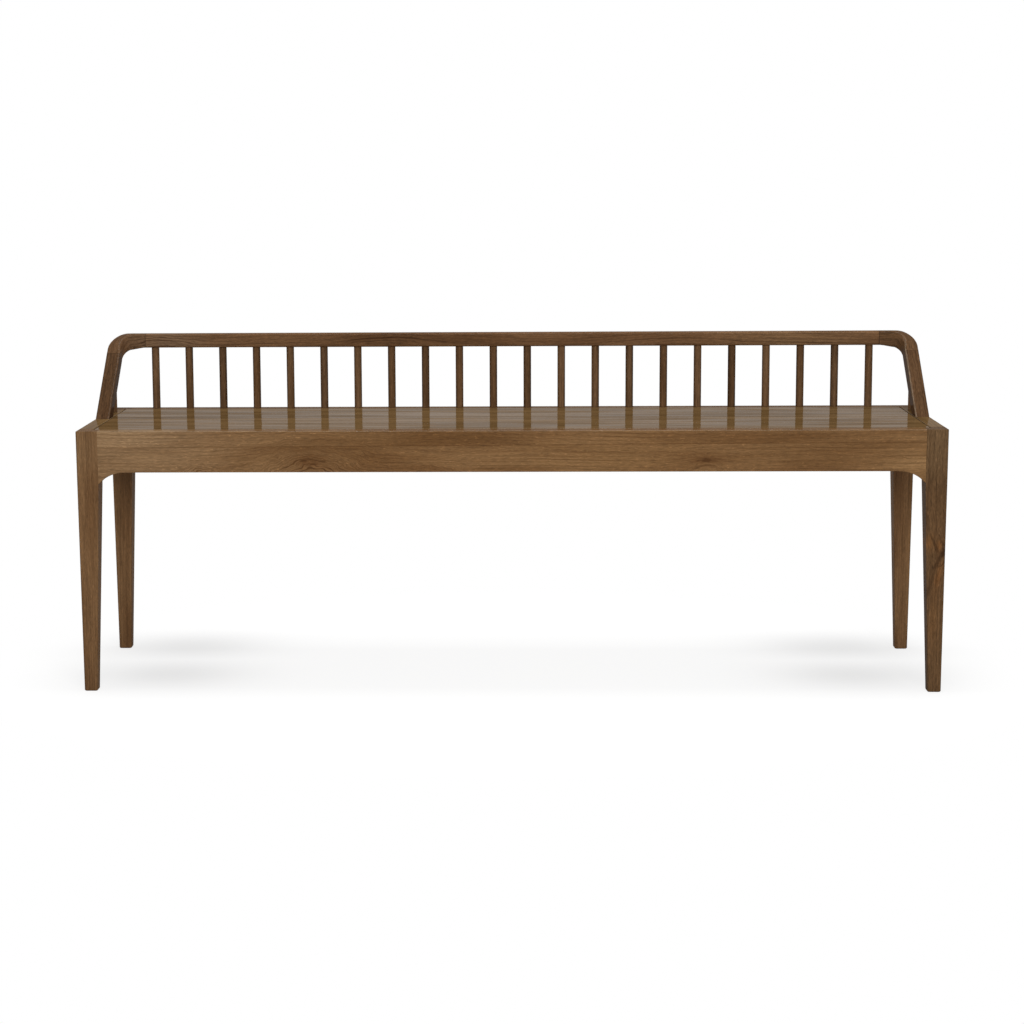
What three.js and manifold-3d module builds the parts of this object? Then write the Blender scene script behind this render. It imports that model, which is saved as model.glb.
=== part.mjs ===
// A low teak deacons bench: four tapered legs, arched rails, a boarded seat and a low spindle back
// whose top rail bends round each corner and runs down to the side rails as an arm.
// Millimetres, +Z up, the front is towards -Y, the origin is on the floor under the middle of the bench.
import * as THREE from 'three';
import { mergeVertices } from 'three/addons/utils/BufferGeometryUtils.js';
import Module from 'manifold-3d';

const wasm = await Module();
wasm.setup();

// Overall
const benchLength = 1480;
const benchDepth = 350;
const seatHeight = 455.5;
const backRise = 138.5;      // from the seat to the top of the back

// Fits
const fitGap = 0.3;          // clearance round a tenon, spindle or screw, and at a glued end joint
const boardGap = 0.3;        // fine line between two seat boards
const panelFit = 0.4;        // seat panel to front and rear rail
const shadowGroove = 2.5;    // open groove between the panel's ends and the side rails
const overrun = 5;           // how far a cutter passes the surface that it cuts

// Legs
const legSize = 37;
const footSize = 23;
const footFaceInset = 3;     // the front or rear face leans in this much by the floor
const legEdge = 3;           // rounding of the free edges
const legJointEdge = 0.6;    // rounding where a rail lies flush
const footEase = 2.5;
const topEase = 1.2;
const taperStart = 2;        // the taper starts this far below the arch's toe
const legEdgeSteps = 2;

// Rails
const railThickness = 25.5;
const railHeight = 71;
const archRun = 45;
const archDrop = 20.3;
const railEase = 1.4;
const archSegments = 8;
const railTenonThickness = 9;
const railTenonLength = 16;
const railTenonShoulder = 14;

// Seat panel
const boardCount = 4;
const boardThickness = 20;

// Bearers under the seat
const bearerCount = 3;
const bearerWidth = 24;
const bearerHeight = 44;
const bearerTenonLength = 8;
const bearerTenonShoulder = 6;
const cleatSize = 20;
const cleatEndGap = 2;

// Screws from below into the seat boards
const screwRadius = 2.1;
const screwHeadRadius = 4.2;
const screwHeadHeight = 2.6;
const screwSides = 8;
const screwBite = 13;
const screwEndInset = 38;    // from the panel's edge
const bearerCounterbore = 20;
const cleatCounterbore = 5;

// Spindles
const spindleCount = 22;
const spindleEndInset = 82.5;     // from the bench's end to the outermost spindle's centre
const spindleDiameter = 14;
const spindleTenonDiameter = 10;
const spindleTenonLength = 11;
const spindleHoleSpare = 1.5;     // a hole is this much deeper than its tenon
const spindleFootInset = 14.5;    // from the rear face of the bench to the spindles' feet
const sideSpindleInset = 22.8;    // in front of the middle of the joint between arm and corner
const sideSpindleEntry = 9;       // how far its top runs up into the arm
const spindleSides = 12;

// Back rail, corners and arms: one line of timber that bends and falls
const backRailDepth = 22;
const backRailHeight = 25.4;
const armWidth = 24.6;
const armInset = 0.4;             // from the leg's outer face to the arm's
const armThickness = 27.4;
const hoopEdge = 3.2;
const hoopEdgeSteps = 3;
const cornerRadius = 33;          // of the centre line, seen from above
const cornerLead = 20;            // straight timber of the corner piece, before its bend
const cornerTail = 3;             // and after its fall has settled
const cornerBelly = 4;            // how much deeper the corner piece hangs in its bend
const bellyEnd = 46.5;            // run at which it has its plain depth again
const cornerSteps = 26;
const armToe = -4.5;              // where the arm's upper face meets the seat, from the middle
const fallPlace = 25;             // run from the bend's start to where the arm's line meets the rail's
const fallLead = 13;              // the fall starts this far before that place
const fallTail = 30;              // and has settled this far after it
const armTenonThickness = 10;
const armTenonDepth = 14;
const armTenonShoulder = 6;

// Slip tenons in the end joints of the corner pieces
const slipTenonThickness = 7;
const slipTenonWidth = 14;
const slipTenonLength = 22;
const slipTenonSteps = 3;

// Finishes
const teak = (colour) => new THREE.MeshStandardMaterial({ color: colour, roughness: 0.42, metalness: 0 });
const apronTeak = teak(0x8a6640);
const legTeak = teak(0x6b4c31);
const seatTeak = teak(0x86694c);
const hoopTeak = teak(0x694829);
const spindleTeak = teak(0x6a4a2d);
const bearerTeak = teak(0x7b5c3c);
const slipTenonBeech = teak(0xb89468);
const screwSteel = new THREE.MeshStandardMaterial({ color: 0x8d8a80, roughness: 0.35, metalness: 0.9 });

// Places that follow from the sizes
const halfLength = benchLength / 2;
const halfDepth = benchDepth / 2;
const legInnerX = halfLength - legSize;
const legInnerY = halfDepth - legSize;
const railInnerX = halfLength - railThickness;
const railInnerY = halfDepth - railThickness;
const panelEndX = railInnerX - shadowGroove;
const panelEdgeY = railInnerY - panelFit;
const panelUnderside = seatHeight - boardThickness;
const archToe = seatHeight - railHeight - archDrop;
const backHeight = seatHeight + backRise;
const backRailCentreY = halfDepth - backRailDepth / 2;
const backRailUnderside = backHeight - backRailHeight;
const spindleFootY = halfDepth - spindleFootInset;
const spindleLean = (backRailCentreY - spindleFootY) / (backRailUnderside - seatHeight);

const bench = new THREE.Group();

function addPiece(name, geometry, material) {
  const mesh = new THREE.Mesh(geometry, material);
  mesh.name = name;
  bench.add(mesh);
}

// Booleans

function toSolid(geometry) {
  const bare = geometry.clone();
  bare.deleteAttribute('normal');
  bare.deleteAttribute('uv');
  const merged = mergeVertices(bare);
  return new wasm.Manifold(new wasm.Mesh({
    numProp: 3,
    vertProperties: new Float32Array(merged.attributes.position.array),
    triVerts: new Uint32Array(merged.index.array),
  }));
}

function toGeometry(solid) {
  const mesh = solid.getMesh();
  const geometry = new THREE.BufferGeometry();
  geometry.setAttribute('position', new THREE.BufferAttribute(mesh.vertProperties, 3));
  geometry.setIndex(new THREE.BufferAttribute(mesh.triVerts, 1));
  geometry.computeVertexNormals();
  return geometry;
}

function joined(geometry, ...extras) {
  const solid = extras.reduce((whole, extra) => whole.add(toSolid(extra)), toSolid(geometry));
  return toGeometry(solid);
}

function cut(geometry, ...cutters) {
  const solid = cutters.reduce((rest, cutter) => rest.subtract(toSolid(cutter)), toSolid(geometry));
  return toGeometry(solid);
}

function kept(geometry, keeper) {
  return toGeometry(toSolid(geometry).intersect(toSolid(keeper)));
}

// Shapes

function block(x0, x1, y0, y1, z0, z1) {
  const geometry = new THREE.BoxGeometry(x1 - x0, y1 - y0, z1 - z0);
  return geometry.translate((x0 + x1) / 2, (y0 + y1) / 2, (z0 + z1) / 2);
}

// A closed skin over rings with as many points each, the first and last of them capped
function loft(rings) {
  const count = rings[0].length;
  const positions = rings.flat().flatMap((point) => [point.x, point.y, point.z]);
  const faces = [];
  for (let ring = 0; ring + 1 < rings.length; ring++) {
    for (let i = 0; i < count; i++) {
      const next = (i + 1) % count;
      const a = ring * count + i;
      const b = ring * count + next;
      faces.push(a, b, b + count, a, b + count, a + count);
    }
  }
  const last = (rings.length - 1) * count;
  for (let i = 1; i + 1 < count; i++) {
    faces.push(0, i + 1, i);
    faces.push(last, last + i, last + i + 1);
  }
  const geometry = new THREE.BufferGeometry();
  geometry.setAttribute('position', new THREE.Float32BufferAttribute(positions, 3));
  geometry.setIndex(faces);
  return geometry;
}

// Corners of a rectangle, each rounded by its own radius, anticlockwise from the corner at x1, y1
function roundedCorners(x0, x1, y0, y1, radii, steps) {
  const corners = [[x1, y1, 0], [x0, y1, 1], [x0, y0, 2], [x1, y0, 3]];
  return corners.flatMap(([x, y, quarter]) => {
    const radius = radii[quarter];
    const centreX = x === x1 ? x - radius : x + radius;
    const centreY = y === y1 ? y - radius : y + radius;
    return Array.from({ length: steps + 1 }, (_, step) => {
      const angle = (quarter + step / steps) * Math.PI / 2;
      return new THREE.Vector2(centreX + radius * Math.cos(angle), centreY + radius * Math.sin(angle));
    });
  });
}

// The same shape on the other side of the bench, still facing outwards
function mirrored(geometry, signX, signY) {
  const copy = geometry.clone().applyMatrix4(new THREE.Matrix4().makeScale(signX, signY, 1));
  if (signX * signY < 0) {
    const index = copy.index.array;
    for (let i = 0; i < index.length; i += 3) {
      [index[i], index[i + 1]] = [index[i + 1], index[i]];
    }
  }
  return copy;
}

// A turned shape on the Z axis: pairs of radius and height, from the bottom up
function turned(profile, sides) {
  const points = profile.map(([radius, height]) => new THREE.Vector2(radius, height));
  return new THREE.LatheGeometry(points, sides).rotateX(Math.PI / 2);
}

function rod(radius, z0, z1, sides) {
  return turned([[0, z0], [radius, z0], [radius, z1], [0, z1]], sides);
}

// Evenly spaced places from -span / 2 to span / 2
function spread(count, span) {
  return Array.from({ length: count }, (_, i) => (count > 1 ? (i / (count - 1) - 0.5) * span : 0));
}

// Legs, modelled at the rear right corner and mirrored to the others

// Only the corner that points away from the bench has the outer radius
function legRing(z, x0, x1, y0, y1, outerRadius, innerRadius) {
  const radii = [outerRadius, innerRadius, innerRadius, innerRadius];
  const outline = roundedCorners(x0, x1, y0, y1, radii, legEdgeSteps);
  return outline.map((p) => new THREE.Vector3(p.x, p.y, z));
}

// The end of the bench stands plumb, and the other three faces taper
function legBlank() {
  const footX = halfLength;
  const footY = halfDepth - footFaceInset;
  const footInnerX = footX - footSize;
  const footInnerY = footY - footSize;
  const taperZ = archToe - taperStart;
  const topX = halfLength - topEase;
  const topY = halfDepth - topEase;
  return loft([
    legRing(
      0, footInnerX + footEase, footX - footEase, footInnerY + footEase, footY - footEase, legEdge, legEdge,
    ),
    legRing(footEase, footInnerX, footX, footInnerY, footY, legEdge, legEdge),
    legRing(taperZ, legInnerX, halfLength, legInnerY, halfDepth, legEdge, legJointEdge),
    legRing(seatHeight - topEase, legInnerX, halfLength, legInnerY, halfDepth, legEdge, legJointEdge),
    legRing(seatHeight, legInnerX, topX, legInnerY, topY, legEdge, legJointEdge),
  ]);
}

const railTenonBottom = archToe + railTenonShoulder;
const railTenonTop = seatHeight - railTenonShoulder;

function leg() {
  const reach = railTenonLength + fitGap;
  const half = railTenonThickness / 2 + fitGap;
  const centreX = halfLength - railThickness / 2;
  const centreY = halfDepth - railThickness / 2;
  const low = railTenonBottom - fitGap;
  const high = railTenonTop + fitGap;
  return cut(
    legBlank(),
    block(legInnerX - overrun, legInnerX + reach, centreY - half, centreY + half, low, high),
    block(centreX - half, centreX + half, legInnerY - overrun, legInnerY + reach, low, high),
    // the seat panel's corner rests in this notch
    block(
      legInnerX - overrun, railInnerX, legInnerY - overrun, railInnerY, panelUnderside, seatHeight + overrun,
    ),
  );
}

const legAtRearRight = leg();
for (const [endName, signY] of [['front', -1], ['rear', 1]]) {
  for (const [sideName, signX] of [['left', -1], ['right', 1]]) {
    addPiece(`leg_${endName}_${sideName}`, mirrored(legAtRearRight, signX, signY), legTeak);
  }
}

// Rails with an arch under each end, modelled along X with their outer face towards +Y

function archedRail(half) {
  const bottom = seatHeight - railHeight;
  const radius = (archRun ** 2 + archDrop ** 2) / (2 * archDrop);
  const sweep = Math.asin(archRun / radius);
  const end = half + overrun;
  const flatEnd = half - archRun;
  const outline = new THREE.Shape();
  outline.moveTo(-end, archToe);
  outline.lineTo(-half, archToe);
  outline.absarc(-flatEnd, bottom - radius, radius, Math.PI / 2 + sweep, Math.PI / 2, true);
  outline.absarc(flatEnd, bottom - radius, radius, Math.PI / 2, Math.PI / 2 - sweep, true);
  outline.lineTo(end, archToe);
  outline.lineTo(end, seatHeight);
  outline.lineTo(-end, seatHeight);
  const blank = new THREE.ExtrudeGeometry(outline, {
    depth: railThickness - 2 * railEase,
    bevelThickness: railEase,
    bevelSize: railEase,
    bevelOffset: -railEase,
    bevelSegments: 1,
    curveSegments: archSegments,
  });
  blank.rotateX(Math.PI / 2).translate(0, railThickness - railEase, 0);
  const room = block(
    -half, half, -overrun, railThickness + overrun, archToe - overrun, seatHeight + overrun,
  );
  const tenonSide = (railThickness - railTenonThickness) / 2;
  const tenonRoot = half - railTenonThickness;
  const tenonEnd = half + railTenonLength;
  const tenons = [[-tenonEnd, -tenonRoot], [tenonRoot, tenonEnd]].map(([start, end]) => block(
    start, end, tenonSide, railThickness - tenonSide, railTenonBottom, railTenonTop,
  ));
  return joined(kept(blank, room), ...tenons);
}

const bearerPlaces = spread(bearerCount + 2, 2 * legInnerX).slice(1, -1);
const bearerTop = panelUnderside;
const bearerBottom = bearerTop - bearerHeight;

// Mortises for the bearers' stub tenons, in a long rail whose inner face is at y = 0
function bearerMortises() {
  const half = bearerWidth / 2 - bearerTenonShoulder + fitGap;
  const depth = bearerTenonLength + fitGap;
  const low = bearerBottom + bearerTenonShoulder - fitGap;
  const high = bearerTop - bearerTenonShoulder + fitGap;
  return bearerPlaces.map((x) => block(x - half, x + half, -overrun, depth, low, high));
}

const spindlePlaces = spread(spindleCount, benchLength - 2 * spindleEndInset);

function longRail() {
  return cut(archedRail(legInnerX), ...bearerMortises()).translate(0, railInnerY, 0);
}

// Moves a shape that stands on z = 0 to a spindle's place in the back, leaning as the back does
function leanedInBack(geometry, x) {
  const shear = new THREE.Matrix4().makeShear(0, 0, 0, 0, 0, spindleLean);
  return geometry.clone().applyMatrix4(shear).translate(x, spindleFootY, seatHeight);
}

function spindleHole(z0, z1) {
  return rod(spindleTenonDiameter / 2 + fitGap, z0, z1, spindleSides);
}

const spindleRise = backRailUnderside - seatHeight;
const spindleHoleDepth = spindleTenonLength + spindleHoleSpare;

addPiece('front_rail', mirrored(longRail(), 1, -1), apronTeak);
const spindleFootHole = spindleHole(-spindleHoleDepth, overrun);
addPiece('rear_rail', cut(
  longRail(),
  ...spindlePlaces.map((x) => leanedInBack(spindleFootHole, x)),
), apronTeak);

// The hoop of timber over the seat. Its place is given by the run along the centre line seen from
// above, counted from the start of the corner's bend. The run is negative along the back rail.

const hoopSideX = halfLength - armInset - armWidth / 2;
const bendStartX = hoopSideX - cornerRadius;
const bendEndY = backRailCentreY - cornerRadius;
const bendRun = cornerRadius * Math.PI / 2;
const backRailCentreZ = backHeight - backRailHeight / 2;

// The arm's line runs from the rail's level at the fall's place down to the seat. Its slope is the
// one that puts the arm's upper face, half a thickness above the line, at the toe.
const armRise = backRailCentreZ - seatHeight;
const armReach = bendRun + bendEndY - fallPlace - armToe;
const armHalf = armThickness / 2;
const armSquare = armReach ** 2 - armHalf ** 2;
const armSlope = (armRise * armReach + armHalf * Math.sqrt(armRise ** 2 + armSquare)) / armSquare;
const armHalfRise = armHalf * Math.hypot(1, armSlope);
const fallStart = fallPlace - fallLead;
const fallEnd = fallPlace + fallTail;
const cornerEnd = fallEnd + cornerTail;
const armEnd = bendRun + bendEndY - armToe + armThickness;

// The fall is a parabola that leaves the level line and settles on the pitch line
function fallAt(run) {
  if (run <= fallStart) return { drop: 0, slope: 0 };
  if (run >= fallEnd) return { drop: armSlope * (run - fallPlace), slope: armSlope };
  const bend = fallTail - fallLead;
  const along = run - fallStart;
  const share = along / (fallLead + Math.sqrt(fallLead ** 2 + bend * along));
  return {
    drop: armSlope * fallTail * share ** 2,
    slope: armSlope * fallTail * share / (fallLead + bend * share),
  };
}

// A smooth swelling from 0 at the start to 1 halfway and back to 0 at the end
function swelling(value, start, end) {
  const share = THREE.MathUtils.clamp((value - start) / (end - start), 0, 1);
  return (4 * share * (1 - share)) ** 2;
}

// The section widens to the arm's while the corner turns, and thickens until the fall has settled.
// Below, it is deeper in the bend.
function sectionAt(run) {
  const { lerp, smoothstep } = THREE.MathUtils;
  const height = lerp(backRailHeight, armThickness, smoothstep(run, bendRun, fallEnd));
  return {
    width: lerp(backRailDepth, armWidth, smoothstep(run, 0, bendRun)),
    top: height / 2,
    bottom: -height / 2 - cornerBelly * swelling(run, -cornerLead, bellyEnd),
  };
}

// Where the line is at a run, and which way it and its section face there
function hoopFrame(run) {
  const angle = THREE.MathUtils.clamp(run / cornerRadius, 0, Math.PI / 2);
  const { drop, slope } = fallAt(run);
  const forward = new THREE.Vector3(Math.cos(angle), -Math.sin(angle), -slope).normalize();
  const outward = new THREE.Vector3(Math.sin(angle), Math.cos(angle), 0);
  const upward = new THREE.Vector3().crossVectors(forward, outward);
  return new THREE.Matrix4().makeBasis(outward, upward, forward).setPosition(
    bendStartX + Math.min(run, 0) + cornerRadius * Math.sin(angle),
    bendEndY + cornerRadius * Math.cos(angle) - Math.max(run - bendRun, 0),
    backRailCentreZ - drop,
  );
}

function hoopRing(run) {
  const { width, top, bottom } = sectionAt(run);
  const frame = hoopFrame(run);
  return roundedCorners(
    -width / 2, width / 2, bottom, top, Array(4).fill(hoopEdge), hoopEdgeSteps,
  ).map((p) => new THREE.Vector3(p.x, p.y, 0).applyMatrix4(frame));
}

function hoopPiece(fromRun, toRun, steps) {
  const step = (toRun - fromRun) / steps;
  return loft(Array.from({ length: steps + 1 }, (_, i) => hoopRing(fromRun + step * i)));
}

const railJoint = -cornerLead - fitGap / 2;
const armJoint = cornerEnd + fitGap / 2;

// A loose tenon across a joint, or the mortise for it
function slipTenon(run, spare) {
  const end = slipTenonLength / 2 + spare;
  const halfThickness = slipTenonThickness / 2 + spare;
  const halfWidth = slipTenonWidth / 2 + spare;
  const section = roundedCorners(
    -halfThickness, halfThickness, -halfWidth, halfWidth, Array(4).fill(halfThickness), slipTenonSteps,
  );
  const rings = [-end, end].map((z) => section.map((p) => new THREE.Vector3(p.x, p.y, z)));
  return loft(rings).applyMatrix4(hoopFrame(run));
}

// Back rail between the two corner pieces
const railEnd = railJoint - fitGap / 2;
const railLength = 2 * (bendStartX + railEnd);
const railMortise = slipTenon(railJoint, fitGap);
const spindleTopHole = spindleHole(spindleRise - overrun, spindleRise + spindleHoleDepth);
addPiece('back_top_rail', cut(
  hoopPiece(railEnd - railLength, railEnd, 1),
  ...spindlePlaces.map((x) => leanedInBack(spindleTopHole, x)),
  railMortise,
  mirrored(railMortise, -1, 1),
), hoopTeak);

const armMortise = slipTenon(armJoint, fitGap);
const corner = cut(hoopPiece(-cornerLead, cornerEnd, cornerSteps), railMortise, armMortise);

// Side spindle, under the arm on the middle of the side rail
const sideSpindleX = halfLength - railThickness / 2;
const sideSpindleY = bendEndY + bendRun - cornerEnd - sideSpindleInset;
const armUnderAt = (y) => seatHeight + (y - armToe) * armSlope - 2 * armHalfRise;
const sideSpindleTop = armUnderAt(sideSpindleY + spindleDiameter / 2) + sideSpindleEntry;

function arm() {
  const footStart = armToe + armTenonShoulder;
  const footEnd = armToe + 2 * armHalfRise / armSlope - armTenonShoulder;
  const below = block(bendStartX, halfLength + overrun, -halfDepth, halfDepth, 0, seatHeight);
  const tenonHalf = armTenonThickness / 2;
  // the stub tenon's top leans with the arm, so that it stays inside it
  const tenon = new THREE.Shape();
  tenon.moveTo(footStart, seatHeight - armTenonDepth);
  tenon.lineTo(footEnd, seatHeight - armTenonDepth);
  tenon.lineTo(footEnd, seatHeight + armTenonShoulder * armSlope / 2);
  tenon.lineTo(footStart, seatHeight + armTenonShoulder * armSlope / 2);
  const tenonSolid = new THREE.ExtrudeGeometry(tenon, { depth: armTenonThickness, bevelEnabled: false });
  tenonSolid.applyMatrix4(new THREE.Matrix4().makeBasis(
    new THREE.Vector3(0, 1, 0), new THREE.Vector3(0, 0, 1), new THREE.Vector3(1, 0, 0),
  )).translate(hoopSideX - tenonHalf, 0, 0);
  const blank = cut(hoopPiece(armJoint + fitGap / 2, armEnd, 1), below);
  const socketRadius = spindleDiameter / 2 + fitGap;
  const socket = rod(socketRadius, seatHeight, sideSpindleTop + spindleHoleSpare, spindleSides)
    .translate(sideSpindleX, sideSpindleY, 0);
  return cut(joined(blank, tenonSolid), socket, armMortise);
}

const armPiece = arm();

function sideRail() {
  const rail = archedRail(legInnerY).rotateZ(-Math.PI / 2).translate(railInnerX, 0, 0);
  const footStart = armToe + armTenonShoulder - fitGap;
  const footEnd = armToe + 2 * armHalfRise / armSlope - armTenonShoulder + fitGap;
  const half = armTenonThickness / 2 + fitGap;
  return cut(
    rail,
    block(
      hoopSideX - half, hoopSideX + half, footStart, footEnd,
      seatHeight - armTenonDepth - fitGap, seatHeight + overrun,
    ),
    spindleHole(seatHeight - spindleHoleDepth, seatHeight + overrun)
      .translate(sideSpindleX, sideSpindleY, 0),
  );
}

// A screw stands on its head: the shank runs up from the head's upper face at height 0
function screw(headZ, spare) {
  const head = screwHeadRadius + spare;
  const shank = screwRadius + spare;
  const underside = -screwHeadHeight - spare;
  const tip = panelUnderside + screwBite - headZ + spare;
  const profile = [[0, underside], [head, underside], [head, 0], [shank, 0], [shank, tip], [0, tip]];
  return turned(profile, screwSides).translate(0, 0, headZ);
}

// The hole for a screw, open below
function screwHole(headZ, x, y) {
  const bore = rod(screwHeadRadius + fitGap, headZ - bearerHeight - overrun, headZ, screwSides);
  return joined(screw(headZ, fitGap), bore).translate(x, y, 0);
}

// Cleats along the side rails carry the panel's ends
const cleatEndY = legInnerY - cleatEndGap;
const cleatInnerX = railInnerX - cleatSize;
const cleatUnderside = panelUnderside - cleatSize;
const cleatHeadZ = cleatUnderside + cleatCounterbore;
const bearerHeadZ = bearerBottom + bearerCounterbore;
const screwPlaces = spread(2, 2 * (panelEdgeY - screwEndInset));
const cleatScrewX = railInnerX - cleatSize / 2;

function cleat() {
  return cut(
    block(cleatInnerX, railInnerX, -cleatEndY, cleatEndY, cleatUnderside, panelUnderside),
    ...screwPlaces.map((y) => screwHole(cleatHeadZ, cleatScrewX, y)),
  );
}

const sideRailPiece = sideRail();
const cleatPiece = cleat();
for (const [sideName, sign] of [['left', -1], ['right', 1]]) {
  addPiece(`side_rail_${sideName}`, mirrored(sideRailPiece, sign, 1), apronTeak);
  addPiece(`seat_cleat_${sideName}`, mirrored(cleatPiece, sign, 1), bearerTeak);
  addPiece(`back_corner_${sideName}`, mirrored(corner, sign, 1), hoopTeak);
  addPiece(`arm_${sideName}`, mirrored(armPiece, sign, 1), hoopTeak);
}

// Bearers between the long rails, under the panel
bearerPlaces.forEach((x, i) => {
  const half = bearerWidth / 2;
  const tenonHalf = half - bearerTenonShoulder;
  const tenonEnd = railInnerY + bearerTenonLength;
  const body = joined(
    block(x - half, x + half, -railInnerY, railInnerY, bearerBottom, bearerTop),
    block(
      x - tenonHalf, x + tenonHalf, -tenonEnd, tenonEnd,
      bearerBottom + bearerTenonShoulder, bearerTop - bearerTenonShoulder,
    ),
  );
  const holes = screwPlaces.map((y) => screwHole(bearerHeadZ, x, y));
  addPiece(`seat_bearer_${i + 1}`, cut(body, ...holes), bearerTeak);
});

// Screws through the bearers and cleats
const screws = [
  { carrier: 'cleat_left', x: -cleatScrewX, headZ: cleatHeadZ },
  ...bearerPlaces.map((x, i) => ({ carrier: `bearer_${i + 1}`, x, headZ: bearerHeadZ })),
  { carrier: 'cleat_right', x: cleatScrewX, headZ: cleatHeadZ },
].flatMap((row) => [
  { ...row, end: 'front', y: screwPlaces[0] },
  { ...row, end: 'rear', y: screwPlaces[1] },
]);
for (const { carrier, end, x, y, headZ } of screws) {
  addPiece(`screw_${carrier}_${end}`, screw(headZ, 0).translate(x, y, 0), screwSteel);
}

// Seat boards, from the front to the rear
const boardPitch = (2 * panelEdgeY + boardGap) / boardCount;
for (let i = 0; i < boardCount; i++) {
  const front = -panelEdgeY + i * boardPitch;
  const rear = front + boardPitch - boardGap;
  const board = block(-panelEndX, panelEndX, front, rear, panelUnderside, seatHeight);
  const reach = screwRadius + fitGap;
  const own = screws.filter(({ y }) => y > front - reach && y < rear + reach);
  const holes = own.map(({ x, y, headZ }) => screw(headZ, fitGap).translate(x, y, 0));
  addPiece(`seat_board_${i + 1}`, cut(board, ...holes), seatTeak);
}

// Slip tenons of the back rail and of the arms
for (const [name, run] of [['corner', railJoint], ['arm', armJoint]]) {
  const tenon = slipTenon(run, 0);
  addPiece(`${name}_slip_tenon_left`, mirrored(tenon, -1, 1), slipTenonBeech);
  addPiece(`${name}_slip_tenon_right`, tenon, slipTenonBeech);
}

// Spindles of the back
const tenonRadius = spindleTenonDiameter / 2;
const spindleRadius = spindleDiameter / 2;
const backSpindle = turned([
  [0, -spindleTenonLength],
  [tenonRadius, -spindleTenonLength],
  [tenonRadius, 0],
  [spindleRadius, 0],
  [spindleRadius, spindleRise],
  [tenonRadius, spindleRise],
  [tenonRadius, spindleRise + spindleTenonLength],
  [0, spindleRise + spindleTenonLength],
], spindleSides);
spindlePlaces.forEach((x, i) => {
  addPiece(`spindle_${String(i + 1).padStart(2, '0')}`, leanedInBack(backSpindle, x), spindleTeak);
});

// Side spindles, one under each arm
const sideSpindle = turned([
  [0, seatHeight - spindleTenonLength],
  [tenonRadius, seatHeight - spindleTenonLength],
  [tenonRadius, seatHeight],
  [spindleRadius, seatHeight],
  [spindleRadius, sideSpindleTop],
  [0, sideSpindleTop],
], spindleSides).translate(sideSpindleX, sideSpindleY, 0);
addPiece('side_spindle_left', mirrored(sideSpindle, -1, 1), spindleTeak);
addPiece('side_spindle_right', sideSpindle, spindleTeak);

export default bench;
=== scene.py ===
import math

import bmesh
import bpy
from mathutils import Matrix, Vector


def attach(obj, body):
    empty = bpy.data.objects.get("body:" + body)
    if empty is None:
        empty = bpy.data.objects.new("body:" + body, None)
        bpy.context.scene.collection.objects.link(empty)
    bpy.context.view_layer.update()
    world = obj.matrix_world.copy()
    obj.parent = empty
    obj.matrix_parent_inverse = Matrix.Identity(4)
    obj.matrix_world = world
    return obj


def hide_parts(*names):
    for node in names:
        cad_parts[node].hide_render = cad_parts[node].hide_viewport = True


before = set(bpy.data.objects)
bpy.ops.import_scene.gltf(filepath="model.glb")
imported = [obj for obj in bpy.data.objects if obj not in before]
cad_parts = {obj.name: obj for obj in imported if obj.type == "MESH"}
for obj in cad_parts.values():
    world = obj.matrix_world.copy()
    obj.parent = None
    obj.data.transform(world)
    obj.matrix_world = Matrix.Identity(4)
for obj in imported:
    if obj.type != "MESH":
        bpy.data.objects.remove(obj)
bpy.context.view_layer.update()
print("frame loaded:", len(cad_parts), "nodes")

# Pieces are modelled in millimetres, and finishPiece brings them to metres.
millimetre = 0.001
sides = {"left": -1, "right": 1}

camera = {
    "place": (0.02315, -3.70755, 0.91612), "yaw": 0.03253, "pitch": -0.15874, "roll": -0.0067,
    "focalPixels": 2102.4, "opticalCentre": (455.5, 491.99), "framePixels": 1024,
    "sensorWidth": 36, "farClip": 100,
}


def addObject(name, data):
    body = bpy.data.objects.new(name, data)
    bpy.context.scene.collection.objects.link(body)
    return body


def makeCamera():
    lens = bpy.data.cameras.new("camera")
    pixels = camera["framePixels"]
    centreX, centreY = camera["opticalCentre"]
    lens.sensor_width = camera["sensorWidth"]
    lens.lens = camera["sensorWidth"] * camera["focalPixels"] / pixels
    lens.shift_x = (pixels / 2 - centreX) / pixels
    lens.shift_y = (centreY - pixels / 2) / pixels
    lens.clip_end = camera["farClip"]
    turn = Matrix.Rotation(camera["yaw"], 4, "Z")
    tilt = Matrix.Rotation(math.pi / 2 + camera["pitch"], 4, "X")
    roll = Matrix.Rotation(camera["roll"], 4, "Z")
    eye = addObject("camera", lens)
    eye.matrix_world = Matrix.Translation(camera["place"]) @ turn @ tilt @ roll
    bpy.context.scene.camera = eye


# Puts numbers and colours in a node's sockets, or links other nodes' outputs to them
def feed(tree, node, inputs):
    for name, value in inputs.items():
        if isinstance(value, bpy.types.NodeSocket):
            tree.links.new(value, node.inputs[name])
        else:
            node.inputs[name].default_value = value


def addNode(tree, kind, inputs=None, **settings):
    node = tree.nodes.new("ShaderNode" + kind)
    for key, value in settings.items():
        setattr(node, key, value)
    feed(tree, node, inputs or {})
    return node


def maths(tree, operation, *values):
    return addNode(tree, "Math", dict(enumerate(values)), operation=operation).outputs[0]


def vectorMaths(tree, operation, *vectors):
    node = addNode(tree, "VectorMath", dict(enumerate(vectors)), operation=operation)
    return node.outputs["Value" if operation == "LENGTH" else "Vector"]


def scaled(tree, vector, scale):
    inputs = {0: vector, "Scale": scale}
    return addNode(tree, "VectorMath", inputs, operation="SCALE").outputs["Vector"]


def ramp(tree, value, start, end, low=0.0, high=1.0):
    inputs = {"Value": value, "From Min": start, "From Max": end, "To Min": low, "To Max": high}
    return addNode(tree, "MapRange", inputs, interpolation_type="SMOOTHSTEP").outputs["Result"]


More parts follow.
